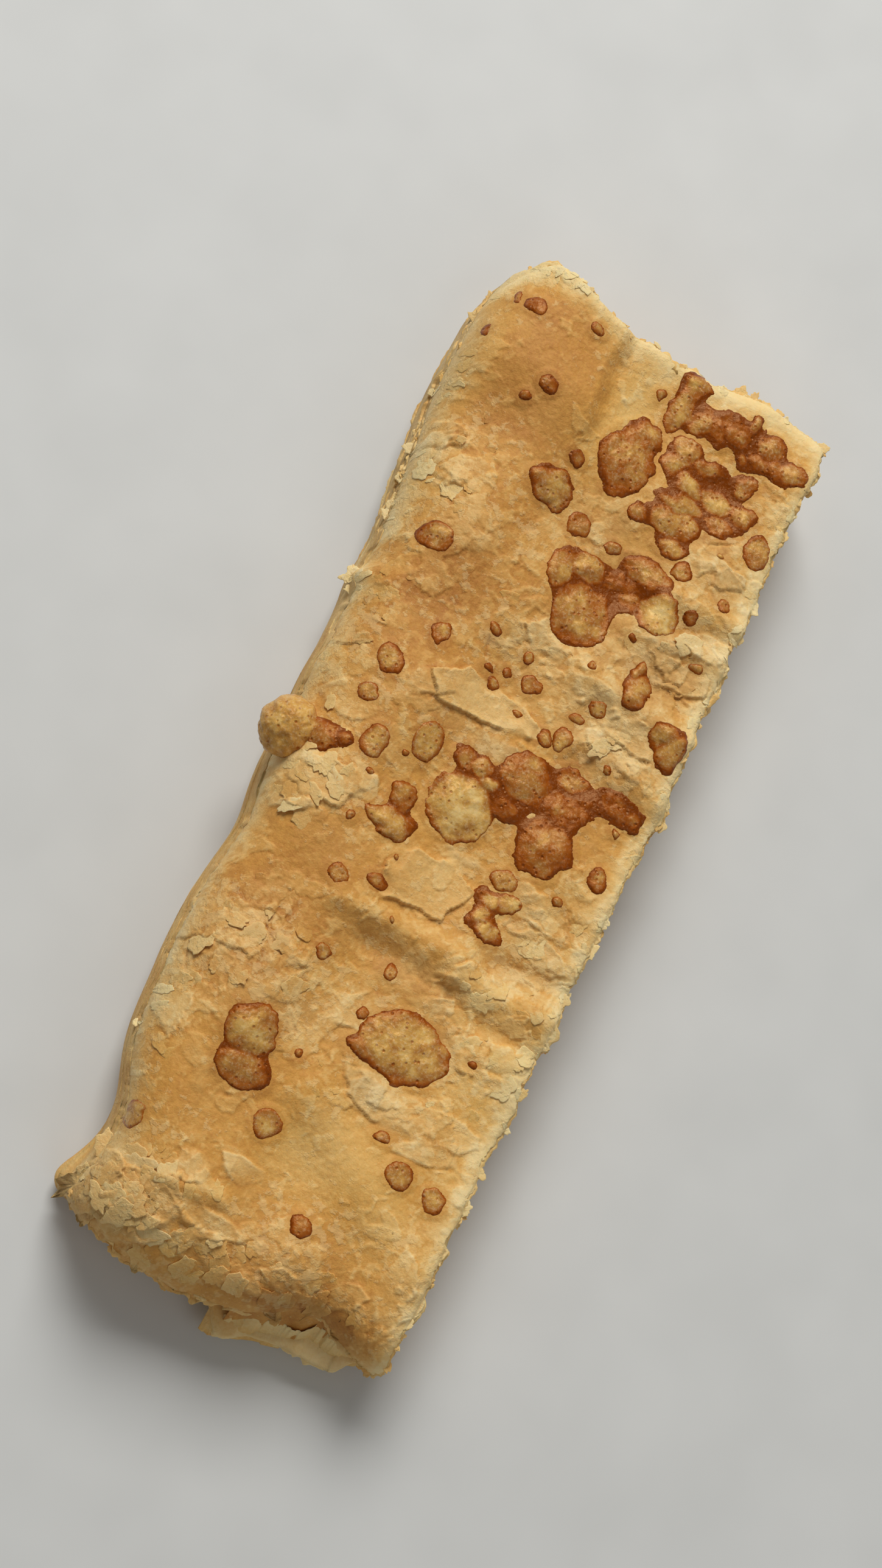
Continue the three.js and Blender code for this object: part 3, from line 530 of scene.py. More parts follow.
# %% Material helpers
def linear(hexcode):
    """Linear RGB and alpha from an sRGB hex colour."""
    srgb = np.array([int(hexcode[i:i + 2], 16) for i in (1, 3, 5)]) / 255
    return (*np.where(srgb <= 0.04045, srgb / 12.92, ((srgb + 0.055) / 1.055) ** 2.4), 1.0)


def add(tree, kind, inputs=None, **settings):
    """Adds a node, sets its properties, and sets or links each named input."""
    node = tree.nodes.new(kind)
    for key, value in settings.items():
        setattr(node, key, value)
    for key, value in (inputs or {}).items():
        if isinstance(value, bpy.types.NodeSocket):
            tree.links.new(value, node.inputs[key])
        else:
            node.inputs[key].default_value = value
    return node


def set_ramp(node, stops):
    """Sets a colour ramp's stops from (place, hex colour) pairs."""
    band = node.color_ramp
    while len(band.elements) < len(stops):
        band.elements.new(0.5)
    for element, (place, hexcode) in zip(band.elements, stops):
        element.position = place
        element.color = linear(hexcode)


def new_material(name):
    """Empty node material with its output and main shader."""
    material = bpy.data.materials.new(name)
    material.use_nodes = True
    tree = material.node_tree
    tree.nodes.clear()
    shader = add(tree, "ShaderNodeBsdfPrincipled")
    add(tree, "ShaderNodeOutputMaterial", {"Surface": shader.outputs["BSDF"]})
    return material, tree, shader


# %% [markdown]
# Baked crust is flour and butter browned by the oven, with a matt, slightly open surface. One flat colour would look
# like plastic, so the tone picks the brown from a ramp; floury sheets take a creamier ramp and dried parts a greyer
# one. Grain and pale flecks are noise at their own sizes, and a little light passes under the surface.

# %% Baked crust
MOTTLES, GRAINS, FLECKS = 0.45, 2.2, 0.62  # how many come to a millimetre
crust_material, tree, shader = new_material("baked_crust")
place = add(tree, "ShaderNodeTexCoord").outputs["Object"]
tone, dull, floury, flaky = [add(tree, "ShaderNodeAttribute", attribute_name=key).outputs["Fac"]
                             for key in ("tone", "dull", "floury", "flaky")]
mottle, grain, flecks = [
    add(tree, "ShaderNodeTexNoise",
        {"Vector": place, "Scale": count / MM, "Detail": 4.0, "Roughness": 0.65}).outputs["Fac"]
    for count in (MOTTLES, GRAINS, FLECKS)]
level = add(tree, "ShaderNodeMath", {0: mottle, 1: 0.2, 2: tone}, operation="MULTIPLY_ADD").outputs[0]
level = add(tree, "ShaderNodeMath", {0: grain, 1: 0.45, 2: level}, operation="MULTIPLY_ADD").outputs[0]
level = add(tree, "ShaderNodeMath", {0: level, 1: 0.325}, operation="SUBTRACT").outputs[0]
golden, cream, dry = [add(tree, "ShaderNodeValToRGB", {"Fac": level}) for _ in range(3)]
set_ramp(golden, [(0.0, "#F2CC82"), (0.3, "#E6B360"), (0.5, "#D99D48"), (0.68, "#C98A3E"), (0.85, "#B4732F"),
                  (1.0, "#8E5622")])
set_ramp(cream, [(0.0, "#F5DAA0"), (0.3, "#EDC683"), (0.5, "#E2B26B"), (0.75, "#CC9750"), (1.0, "#A87134")])
set_ramp(dry, [(0.0, "#E0C796"), (0.45, "#CBA76C"), (0.8, "#A8844C"), (1.0, "#7C5C30")])
flecks = add(tree, "ShaderNodeMath", {0: flecks, 1: flaky}, operation="ADD").outputs[0]
flecks = add(tree, "ShaderNodeMapRange", {"Value": flecks, "From Min": 0.55, "From Max": 0.62}).outputs[0]
light_fleck = add(tree, "ShaderNodeMath", {0: flecks, 1: 0.35}, operation="MULTIPLY").outputs[0]
skin = golden.outputs["Color"]
for share, colour in ((floury, cream.outputs["Color"]), (dull, dry.outputs["Color"]),
                      (light_fleck, linear("#F0D092"))):
    skin = add(tree, "ShaderNodeMix", {0: share, 6: skin, 7: colour}, data_type="RGBA").outputs[2]
relief = mottle
for pattern, share in ((grain, 0.9), (flecks, 0.4)):
    relief = add(tree, "ShaderNodeMath", {0: pattern, 1: share, 2: relief}, operation="MULTIPLY_ADD").outputs[0]
bump = add(tree, "ShaderNodeBump", {"Strength": 0.5, "Distance": 0.00025, "Height": relief})
for key, value in {"Roughness": 0.6, "Specular IOR Level": 0.25, "Subsurface Weight": 0.15,
                   "Subsurface Scale": 0.0005, "Subsurface Radius": (1.0, 0.55, 0.25)}.items():
    shader.inputs[key].default_value = value
tree.links.new(skin, shader.inputs["Base Color"])
tree.links.new(bump.outputs["Normal"], shader.inputs["Normal"])
print("baked crust:", len(tree.nodes), "nodes")

# %% [markdown]
# Melted cheese is milk fat and protein that has run, browned and set with a soft gloss. Its depth, worked out with
# each patch, picks the amber: pale over a bubble, partly as painted sheen, and dark at a rim. Pale specks are partly a
# dry bloom and partly painted glints, and steam leaves dark pores.

# %% Melted cheese
BLOTCHES, SPECKS, PORES = 0.7, 2.4, 0.9  # how many come to a millimetre
cheese_material, tree, shader = new_material("melted_cheese")
place = add(tree, "ShaderNodeTexCoord").outputs["Object"]
depth = add(tree, "ShaderNodeAttribute", attribute_name="depth").outputs["Fac"]
mottle, speck_pattern = [
    add(tree, "ShaderNodeTexNoise",
        {"Vector": place, "Scale": count / MM, "Detail": 4.0, "Roughness": 0.65}).outputs["Fac"]
    for count in (BLOTCHES, SPECKS)]
pores = add(tree, "ShaderNodeTexVoronoi",
            {"Vector": place, "Scale": PORES / MM, "Randomness": 1.0}).outputs["Distance"]
pitted = add(tree, "ShaderNodeMapRange", {"Value": pores, "From Min": 0.08, "From Max": 0.24, "To Min": 0.34,
                                          "To Max": 0.0}).outputs[0]
level = add(tree, "ShaderNodeMath", {0: mottle, 1: 0.7, 2: depth}, operation="MULTIPLY_ADD").outputs[0]
level = add(tree, "ShaderNodeMath", {0: level, 1: pitted}, operation="ADD").outputs[0]
level = add(tree, "ShaderNodeMath", {0: level, 1: 0.35}, operation="SUBTRACT").outputs[0]
amber = add(tree, "ShaderNodeValToRGB", {"Fac": level})
set_ramp(amber, [(0.0, "#E8C47C"), (0.15, "#DAAB5C"), (0.3, "#C69046"), (0.45, "#B27738"), (0.6, "#A96020"),
                 (0.8, "#994B0E"), (1.0, "#7E3804")])
# Pale specks: partly a dry bloom and partly painted glints.
specks_and_glints = add(tree, "ShaderNodeMapRange",
            {"Value": speck_pattern, "From Min": 0.5, "From Max": 0.64, "To Max": 0.3}).outputs[0]
fresh = add(tree, "ShaderNodeMapRange", {"Value": depth, "From Min": 0.4, "From Max": 0.8, "To Min": 1.0,
                                         "To Max": 0.2}).outputs[0]
specks_and_glints = add(tree, "ShaderNodeMath", {0: specks_and_glints, 1: fresh}, operation="MULTIPLY").outputs[0]
colour = add(tree, "ShaderNodeMix", {0: specks_and_glints, 6: amber.outputs["Color"], 7: linear("#F0D6A8")},
             data_type="RGBA").outputs[2]
relief = add(tree, "ShaderNodeMath", {0: pitted, 1: -3.0, 2: mottle}, operation="MULTIPLY_ADD").outputs[0]
relief = add(tree, "ShaderNodeMath", {0: speck_pattern, 1: 0.8, 2: relief}, operation="MULTIPLY_ADD").outputs[0]
bump = add(tree, "ShaderNodeBump", {"Strength": 0.5, "Distance": 0.00022, "Height": relief})
for key, value in {"Roughness": 0.22, "Specular IOR Level": 0.4, "Specular Tint": linear("#FFCA8A"),
                   "Subsurface Weight": 0.15, "Subsurface Scale": 0.0008,
                   "Subsurface Radius": (1.0, 0.6, 0.35)}.items():
    shader.inputs[key].default_value = value
tree.links.new(colour, shader.inputs["Base Color"])
tree.links.new(bump.outputs["Normal"], shader.inputs["Normal"])
print("melted cheese:", len(tree.nodes), "nodes")

# %% [markdown]
# ## The strip itself
# On the real strip the wall is the cut ends of many sheets, which spread and part as steam lifts them, while the
# folded left side stays smooth and pale. One mesh as fine as the flakes would be too large for a piece, so there are
# three: two halves of the top, each a grid between the edges that is closed below, and a side whose rows run down
# from the border to the floor. The side goes in and out by about half a millimetre for each sheet.

# %% Form and tone of the wall
WALL_ROWS, LEAVES = 38, 8.5


def wall_out(x, y, out_x, out_y, down):
    """How far the wall stands out from the crust's border, in mm, at a share of the way down to the floor."""
    left, near = np.clip(-out_x, 0, 1), np.clip(-out_y, 0, 1)
    belly = np.sin(np.pi * down)
    run = x - 0.8 * y
    wave = np.cos(2 * np.pi * (LEAVES * down + 0.5 * rough(run, 12 * down, 14, 3, 3)))
    leaf = (1 - 0.95 * left) * belly * (0.6 * LEAF_RELIEF * wave + 0.6 * rough(run, 30 * down, 4, 9, 4))
    ledge_span = smoothstep(x, 0, 4) * (1 - smoothstep(x, 20, 24))
    leaf = leaf * (1 - 0.85 * near * ledge_span)
    gap = near * ledge_span * GAP_DEPTH * np.exp(-(((down - 0.25) / 0.1) ** 2))
    flap = FLAP_OUT * np.exp(-(((x - FLAP_AT) / 3) ** 2))
    flap = flap + TEAR[2] * np.exp(-(((x - TEAR[0]) / TEAR[1]) ** 2))
    flap = flap + 0.35 * rough(x, 0 * x, 4, 61, 3)
    ledge = near * ledge_span * (LEDGE_OUT + flap) * smoothstep(down - 0.08 * notched(x, 2.2, 5), 0.34, 0.46)
    undercut = near * (1 - ledge_span) * UNDERCUT * down
    corner = CORNER_OUT * np.exp(-((x + 22) ** 2 + (y + 67) ** 2) / 40) * smoothstep(down, 0.5, 0.7)
    inset = FLOOR_INSET * smoothstep(down, 0.8, 1)
    return (0.9 * left + 0.3) * belly + leaf - gap + ledge - undercut + corner - inset


def wall_tone(x, y, out_x, out_y, down):
    """Numbers that colour the wall: cream where sheets parted, the ledge paler still as painted light, painted shade
    in the slit above it, browner low down, dull on the folded side.
    """
    left, near = np.clip(-out_x, 0, 1), np.clip(-out_y, 0, 1)
    run = x - 0.8 * y
    ledge_span = near * smoothstep(x, 0, 4) * (1 - smoothstep(x, 20, 24))
    slit = ledge_span * np.exp(-(((down - 0.24) / 0.12) ** 2))
    tone = 0.3 + 0.22 * rough(run, 34 * down, 6, 15, 4) + 0.3 * smoothstep(down, 0.75, 1)
    tone = tone + 0.15 * near + 0.1 * left
    # The ledge's paleness is partly its own cream and partly painted light; the dark slit above it is painted shade.
    tone = tone - 0.5 * ledge_span * smoothstep(down - 0.08 * notched(x, 2.2, 5), 0.34, 0.4) + 0.7 * slit
    dull = left * (0.35 + 0.5 * smoothstep(y, 5, 40)) + 0.12 * near + 0.15 * rough(run, 20 * down, 9, 19, 3)
    floury = 0.35 + 0.3 * rough(run, 26 * down, 7, 25, 4) + 0.3 * ledge_span
    dull, floury = np.clip(dull, 0, 1), np.clip(floury, 0, 1)
    return {"tone": tone, "dull": dull, "floury": floury, "flaky": -0.05 + 0 * tone}


# %% Top of the strip
ACROSS, ALONG = 250, 370
SEAM_OVERLAP, SEAM_DROP = 0.005, 0.2  # share of the length by which the halves overlap, and the dip of one in mm
TUCK_IN, TUCK_HEIGHT = 2, 0.6  # the hidden cap lies this far inside the border, at this share of its height
TURN_ROUNDS, CALM_ROUNDS = 14, 80  # rounds of smoothing


def crust_point(across, along):
    """Point and numbers of the crust at shares of the way across and along the strip."""
    guess = edge(LEFT_EDGE, 0.0) * (1 - across) + edge(RIGHT_EDGE, 0.0) * across
    y = edge(NEAR_EDGE, guess) * (1 - along) + edge(FAR_EDGE, guess) * along
    x = edge(LEFT_EDGE, y) * (1 - across) + edge(RIGHT_EDGE, y) * across
    detail, numbers = crust_detail(x, y)
    return np.stack([x, y, crust_form(x, y) + detail], -1), numbers


def border_of(grid):
    """Outer loop of a grid, anticlockwise from above."""
    return np.concatenate([grid[0, :-1], grid[:-1, -1], grid[-1, :0:-1], grid[:0:-1, 0]])


def outward_of(columns, rows):
    """Directions away from a grid's outer loop, turning softly at the corners."""
    ways = np.repeat([(0.0, -1.0), (1.0, 0.0), (0.0, 1.0), (-1.0, 0.0)], [columns - 1, rows - 1] * 2, axis=0)
    for _ in range(TURN_ROUNDS):
        ways = (np.roll(ways, 1, 0) + 2 * ways + np.roll(ways, -1, 0)) / 4
    return ways / np.linalg.norm(ways, axis=1, keepdims=True)


def tuck(loop, ways):
    """The loop moved inward and down to a share of its height, where the crust hides it."""
    return loop * (1, 1, TUCK_HEIGHT) - np.column_stack([TUCK_IN * ways, np.zeros(len(loop))])


HALVES = [("crust_near", 0, 0.5 + SEAM_OVERLAP, 1), ("crust_far", 0.5 - SEAM_OVERLAP, 1, -1)]
for name, start, end, seam in HALVES:
    across, along = np.meshgrid(np.linspace(0, 1, ACROSS), np.linspace(start, end, ALONG))
    top, numbers = crust_point(across, along)
    top[..., 2] -= SEAM_DROP * smoothstep(seam * (along - 0.5), 0, SEAM_OVERLAP)
    border = border_of(np.arange(across.size).reshape(across.shape))
    under = across.size + np.arange(len(border))
    faces = [grid_faces(ALONG, ACROSS), band_faces(border, under), under[None, ::-1]]
    points = np.concatenate([top.reshape(-1, 3), tuck(border_of(top), outward_of(ACROSS, ALONG))])
    numbers = {key: np.concatenate([values.ravel(), border_of(values)]) for key, values in numbers.items()}
    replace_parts(make_piece(name, points, faces, numbers, crust_material), "pastry")

# %% Side of the strip
SIDE_ACROSS, SIDE_ALONG = 150, 440
shares = np.meshgrid(np.linspace(0, 1, SIDE_ACROSS), np.linspace(0, 1, SIDE_ALONG))
loop, _ = crust_point(*[border_of(share) for share in shares])
outward = outward_of(SIDE_ACROSS, SIDE_ALONG)
edge_x, edge_y, edge_z = loop.T
out_x, out_y = outward.T
tucked = tuck(loop, outward)
calm = loop
for _ in range(CALM_ROUNDS):
    calm = (np.roll(calm, 1, 0) + 2 * calm + np.roll(calm, -1, 0)) / 4


def wall_point(down):
    """Point of the wall at a share of the way down: the torn border runs into a calmer one within a third."""
    x, y, z = (loop + (calm - loop) * smoothstep(np.asarray(down)[..., None], 0, 0.3)).transpose(2, 0, 1)
    out = wall_out(edge_x, edge_y, out_x, out_y, down)
    return np.stack([x + out * out_x, y + out * out_y, z * (1 - down)], -1)


down = np.linspace(0, 1, WALL_ROWS + 1)[:, None]
wall = np.concatenate([tucked[None], wall_point(down)])
loops = np.arange(wall.size // 3).reshape(WALL_ROWS + 2, -1)
bands = [band_faces(upper, lower) for upper, lower in zip(loops, loops[1:])]
faces = [loops[:1], *bands, loops[-1:, ::-1]]
numbers = wall_tone(edge_x, edge_y, out_x, out_y, np.concatenate([down[:1], down]))
side = make_piece("crust_side", wall.reshape(-1, 3), faces, numbers, crust_material)
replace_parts(side, "pastry")

# %% [markdown]
# ## Sheets that stand out of the wall
# At the cut sides single sheets reach past the rest, thin and ragged. Each is a thin profile carried round the
# border at its own height; where its reach falls below nothing it stays inside the wall.

# %% Loose sheets at the edge
SHEET_HEIGHTS = np.array([0.02, 0.14, 0.28, 0.45, 0.62, 0.8])[:, None]
number = np.arange(len(SHEET_HEIGHTS))[:, None]
run = edge_x - 0.8 * edge_y + 0 * SHEET_HEIGHTS
left = np.clip(-out_x, 0, 1)


def along_sheets(apart, cell, seed, octaves, keep=0.55):
    """Noise along each sheet, with the sheets' rows set apart so that no two are alike."""
    return rough(run, apart * number + 0 * run, cell, seed, octaves, keep)


leafy = 1 - left * (0.5 - 0.25 * smoothstep(edge_y, 15, 35))
pointed = 1 - 1.7 * np.abs(along_sheets(40.0, 4.5, 31, 4, 0.6))
reach = leafy * (0.35 * along_sheets(40.0, 9, 37, 3) + 0.55 * pointed - 0.15) - 0.35 * (1 - leafy)
reach = np.clip(reach, -0.9, 1.2)
root = wall_point(SHEET_HEIGHTS)
level = root[..., 2] + 0.4 * along_sheets(23.0, 13, 33, 3)
# A sheet's cross-section: outward in shares of its reach above 0 and in mm below, and height in mm
PROFILE = np.array([
    (-1.4, 0.26), (0.0, 0.2), (1.0, 0.07), (1.06, -0.02), (1.0, -0.09), (0.0, -0.2), (-1.4, -0.26)])
outer = np.clip(PROFILE[:, 0], 0, None)
section_out = np.where(PROFILE[:, 0] < 0, PROFILE[:, 0], outer * reach[..., None])
section_up = level[..., None] + PROFILE[:, 1] - 0.25 * outer * np.clip(reach, 0, None)[..., None]
points = np.stack([root[..., :1] + section_out * out_x[:, None], root[..., 1:2] + section_out * out_y[:, None],
                   section_up], -1)
layers, around, corners = section_up.shape
ring = np.arange(layers * around * corners).reshape(layers, around, corners)
ahead, turn = np.roll(ring, -1, 1), np.roll(ring, -1, 2)
quads = np.stack([ring, turn, np.roll(turn, -1, 1), ahead], -1).reshape(-1, 4)
numbers = wall_tone(edge_x, edge_y, out_x, out_y, SHEET_HEIGHTS)
numbers["dull"] = 0.4 * numbers["dull"]
numbers["tone"] = numbers["tone"] - 0.14 + 0.2 * np.clip(reach, 0, 1) * along_sheets(17.0, 5, 35, 3)
numbers = {key: np.repeat(values[..., None], corners, -1) for key, values in numbers.items()}
make_piece("loose_sheets", points.reshape(-1, 3), [quads], numbers, crust_material)

# %% [markdown]
# ## Closed shells
# The blister and the flakes are closed shells made of rings of points: rings that widen over the top, then rings
# that narrow underneath. Only the rings' sizes and heights differ, so two helpers serve them all.

# %% Shell helpers
def shell_mesh(rings):
    """Points and faces of closed shells from rings (shell, ring, step, xyz), each end closed by a fan."""
    count, turns, steps, _ = rings.shape
    first, last = rings[:, 0].mean(1)[:, None], rings[:, -1].mean(1)[:, None]
    points = np.concatenate([rings.reshape(count, -1, 3), first, last], 1)
    base = np.arange(count)[:, None, None] * (turns * steps + 2)
    ring = np.arange(turns * steps).reshape(turns, steps)
    ahead = np.roll(ring, -1, 1)
    quads = base[..., None] + np.stack([ring[:-1], ring[1:], ahead[1:], ahead[:-1]], -1)
    top, low = np.full(steps, turns * steps), np.full(steps, turns * steps + 1)
    top_fan, low_fan = np.stack([top, ring[0], ahead[0]], -1), np.stack([low, ahead[-1], ring[-1]], -1)
    fans = base + np.concatenate([top_fan, low_fan])
    return points.reshape(-1, 3), [quads.reshape(-1, 4), fans.reshape(-1, 3)]


def shell_numbers(values):
    """One number per point of the shells from numbers per ring point; an end takes its ring's mean."""
    count = len(values)
    ends = np.stack([values[:, 0].mean(1), values[:, -1].mean(1)], -1)
    return np.concatenate([values.reshape(count, -1), ends], 1)


# %% [markdown]
# ## Melted cheese
# Grated cheese melts into a thin clear film that browns to amber; steam swells parts of it into bubbles, paler partly
# from their thin skin and partly as painted sheen, which set as low domes. So each patch is a film over the merged
# lobes, with a bubble on each lobe. It is worked out as a height over the crust on a fine grid, and the grid is closed
# into a slab whose rim is sunk below the crust.

# %% Cheese surface
MERGE, FILM, SWELL = 0.6, 0.14, 0.5  # reach of the merging and thickness of the film in mm, share of the rise
GRID_STEP, RING_RISE = 0.2, 0.05  # in mm
WOBBLE, DROP_WOBBLE = 0.7, 0.5  # how far noise shifts an outline, in mm
PATCH_RIM, TAIL_RIM, DROP_RIM = 0.38, 0.45, 0.26  # how much deeper the amber is at a rim


def dome(reach):
    """1 less the square of the reach: 1 at the middle, 0 at the outline."""
    return 1 - np.clip(reach, 0, 1) ** 2


def under_cheese(x, y):
    """Height of the crust, carried on steeply downward past the edges so that cheese hangs over them."""
    past = np.clip(x - edge(RIGHT_EDGE, y) + 0.3, 0, None) + np.clip(y - edge(FAR_EDGE, x) + 0.3, 0, None)
    past = past + np.clip(edge(LEFT_EDGE, y) + 0.3 - x, 0, None)
    return crust_form(x, y) - 2.5 * past


def slab_mesh(x, y, top, low, keep):
    """Closed slab on the kept cells of a grid: top, underside, and a wall round what is kept."""
    rows, columns = x.shape
    cells = grid_faces(rows, columns).reshape(rows - 1, columns - 1, 4)
    beside = np.pad(keep, 1)
    walls = []
    for side, (row, column) in enumerate([(0, 1), (1, 2), (2, 1), (1, 0)]):
        bare = cells[keep & ~beside[row:row + rows - 1, column:column + columns - 1]]
        start, end = bare[:, side], bare[:, (side + 1) % 4]
        walls.append(np.stack([start, start + x.size, end + x.size, end], -1))
    faces = np.concatenate([cells[keep], cells[keep][:, ::-1] + x.size, *walls])
    points = np.concatenate([np.stack([x, y, height], -1).reshape(-1, 3) for height in (top, low)])
    used, faces = np.unique(faces, return_inverse=True)
    return points[used], faces.reshape(-1, 4), used % x.size


def melted(lobes, wobble, rim):
    """Film where the smooth maximum of the lobes' inward distances is above 0, plus bubbles and a ring."""
    table = np.array(lobes)
    low, high = (table[:, :2] - table[:, 2:4]).min(0) - 1.4, (table[:, :2] + table[:, 2:4]).max(0) + 1.4
    x, y = np.meshgrid(np.arange(low[0], high[0], GRID_STEP), np.arange(low[1], high[1], GRID_STEP))
    shift_x, shift_y = wobble * rough(x, y, 4, 201, 5), wobble * rough(x, y, 4, 211, 5)
    reach = np.array([oval_reach(x + shift_x, y + shift_y, *lobe[:4]) for lobe in lobes])
    inside = (1 - reach) * np.minimum(table[:, 2], table[:, 3])[:, None, None]
    border = MERGE * np.log(np.exp(inside / MERGE).sum(0))
    share = np.exp((inside - inside.max(0)) / 0.3)
    brown = (share * table[:, 5, None, None]).sum(0) / share.sum(0)
    bubble = dome(reach)
    swollen = 0.15 * np.log(np.exp(SWELL * table[:, 4, None, None] * bubble / 0.15).sum(0) / len(table))
    film = np.where(border > 0, FILM * (1 - np.exp(-border / 0.4)), 2 * border)
    film = film + RING_RISE * np.exp(-(((border - 0.4) / 0.28) ** 2))
    between, number, _, _ = scales(x + shift_x, y + shift_y, 1.5, 251)
    frothy = smoothstep(brown, 0.55, 0.85) * smoothstep(border, 0.1, 0.7)
    blown = smoothstep(between, 0.05, 0.6)
    grain = (0.12 * rough(x, y, 2.2, 221, 5, 0.65) + 0.06 * frothy * blown) * smoothstep(border, 0.1, 0.8)
    base = under_cheese(x, y)
    deep = np.maximum.reduce([border[:-1, :-1], border[1:, :-1], border[:-1, 1:], border[1:, 1:]])
    points, faces, used = slab_mesh(x, y, base + film + swollen + grain, base - 1.2, deep > -0.5)
    first, second = np.sort(np.concatenate([inside, 0 * inside[:1] - 9]), 0)[:-3:-1]
    seam = np.exp(-(first - second) / 0.3) * np.exp(-((second - 0.15) / 0.4) ** 2)
    thick = smoothstep(noise(x, y, 6, 241), -0.2, 0.5)
    line = np.exp(-((np.clip(first, 0, None) / (0.2 + 0.45 * thick**2)) ** 2))
    glow = thick * np.exp(-np.clip(first, 0, None) / 0.8)
    depth = 0.95 * brown + 0.2 * rough(x, y, 2.4, 261, 4)
    depth = depth + rim * np.maximum(line + 0.5 * glow, 0.8 * seam)
    # Paler on the bubbles' crowns, deeper amber off them: partly the thin bubble skin's own colour and partly painted
    # sheen.
    depth = depth + 0.36 * (1 - bubble.max(0)) ** 1.5 - 0.08 - frothy * 0.25 * blown * number**2
    return points, faces, {"depth": depth.ravel()[used]}


# %% [markdown]
# The larger patches are a piece each, in the place of the solid with the same name.

# %% Cheese patches
for name, lobes in PATCHES.items():
    points, faces, numbers = melted(lobes, WOBBLE, PATCH_RIM)
    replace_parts(make_piece(name, points, [faces], numbers, cheese_material), name)

# %% [markdown]
# The blister on the left swelled over the edge of the crust, so it is a ball and not a dome, with a browned tail.

# %% Blister
BLISTER = np.array([(-24.1, -1.7, 16, 4.2, 4.3, 3.8)])  # x, y, z and the three half sizes
BLISTER_TAIL = [(-20.6, -1.2, 3.4, 2.4, 2, 0.5), (-16.9, -0.6, 1.5, 1, 1, 0.62)]
fall = np.linspace(0.04, np.pi - 0.04, 44)[:, None]
turn = np.linspace(0, 2 * np.pi, 80, endpoint=False)
ball = np.stack([np.sin(fall) * np.cos(turn), np.sin(fall) * np.sin(turn), np.cos(fall) + 0 * turn], -1)
at, half = BLISTER[:, None, None, :3], BLISTER[:, None, None, 3:]
uneven = 1 + 0.07 * rough(4 * ball[..., 0] + 9, 4 * ball[..., 1] + 3 * ball[..., 2], 1.6, 131, 4)
rings = at + half * ball * uneven[..., None]
points, faces = shell_mesh(rings)
above = rings[..., 2] - crust_form(rings[..., 0], rings[..., 1])
depth = 0.24 + 0.4 * np.exp(-np.clip(above, 0, None) / 0.5)
depth = depth + 0.12 * rough(rings[..., 0], rings[..., 1], 2.4, 261, 4)
numbers = {"depth": shell_numbers(depth)}
blister = make_piece("cheese_left_blister", points, faces, numbers, cheese_material)
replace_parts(blister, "cheese_left_blister")
points, faces, numbers = melted(BLISTER_TAIL, WOBBLE, TAIL_RIM)
tail = make_piece("blister_tail", points, [faces], numbers, cheese_material)
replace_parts(tail, "cheese_left_blister")

# %% [markdown]
# Small drops set on their own. They are the same film and bubble, one lobe each, kept together as one piece.

# %% Drops of cheese
drops = [melted([(x, y, half_breadth, half_length, 0.25, 0.22 + 0.6 * brown**1.6)], DROP_WOBBLE, DROP_RIM)
         for x, y, half_breadth, half_length, brown in DROPLETS]
starts = np.cumsum([0] + [len(points) for points, _, _ in drops])
points = np.concatenate([points for points, _, _ in drops])
faces = np.concatenate([faces + start for (_, faces, _), start in zip(drops, starts)])
numbers = {"depth": np.concatenate([numbers["depth"] for _, _, numbers in drops])}
make_piece("cheese_drops", points, [faces], numbers, cheese_material)

# %% [markdown]
# ## Lifted sheet at the near end
# Under the torn crust the lower sheets have curled up, so that a pale sheet with a ragged rim stands before a slit,
# darker partly as baked amber and partly as painted shade. It is a slab on a grid: straight from its foot on the ledge
# to its rim, both lines given by a few points.

# %% Lifted sheet
# x, y, z of the rim, and x, y of the foot
RIM = np.array([
    (1.8, -75, 5.5), (6.4, -73, 8.2), (13.7, -72.3, 8.2), (15.3, -70.9, 8.8), (21, -71, 8.6), (24, -70.6, 7.8)])
FOOT = np.array([(1.8, -77.4), (3.3, -77.9), (9, -76), (15.2, -74.6), (21, -73.7), (24, -72.8)])
FOOT_HEIGHT, SHEET_THICKNESS = 3.2, 0.3


def lay_sheet(name, x, y, z, tone, floury, flaky):
    """Slab as thick as a sheet under every cell of a grid of points, as a piece of crust."""
    whole = np.ones((x.shape[0] - 1, x.shape[1] - 1), bool)
    points, faces, used = slab_mesh(x, y, z, z - SHEET_THICKNESS, whole)
    numbers = {"tone": tone, "dull": 0 * x, "floury": floury + 0 * x, "flaky": flaky + 0 * x}
    numbers = {key: values.ravel()[used] for key, values in numbers.items()}
    make_piece(name, points, [faces], numbers, crust_material)


share, x = np.meshgrid(np.linspace(0, 1, 18), np.linspace(1.8, 24, 190), indexing="ij")
rim_y = np.interp(x, RIM[:, 0], RIM[:, 1]) + 0.9 * notched(x, 1.7, 3) + 0.5 * notched(x, 0.6, 4)
foot_y = np.interp(x, FOOT[:, 0], FOOT[:, 1]) + 0.5 * notched(x, 2.6, 6)
y = foot_y + (rim_y - foot_y) * share
rise = np.interp(x, RIM[:, 0], RIM[:, 2]) - FOOT_HEIGHT
z = FOOT_HEIGHT + rise * share**0.8 + 0.5 * rough(x, 5 * share, 3.5, 83, 4) * share
tone = 0.3 - 0.28 * share + 0.12 * rough(x, 4 * share, 2.5, 87, 4)
lay_sheet("lifted_sheet", x, y, z, tone, 0.2 + 0.5 * share, 0)

# %% [markdown]
# In the slit the next sheet shows, baked amber and darkened further with painted shade. It runs from behind the lifted
# sheet up under the torn crust.

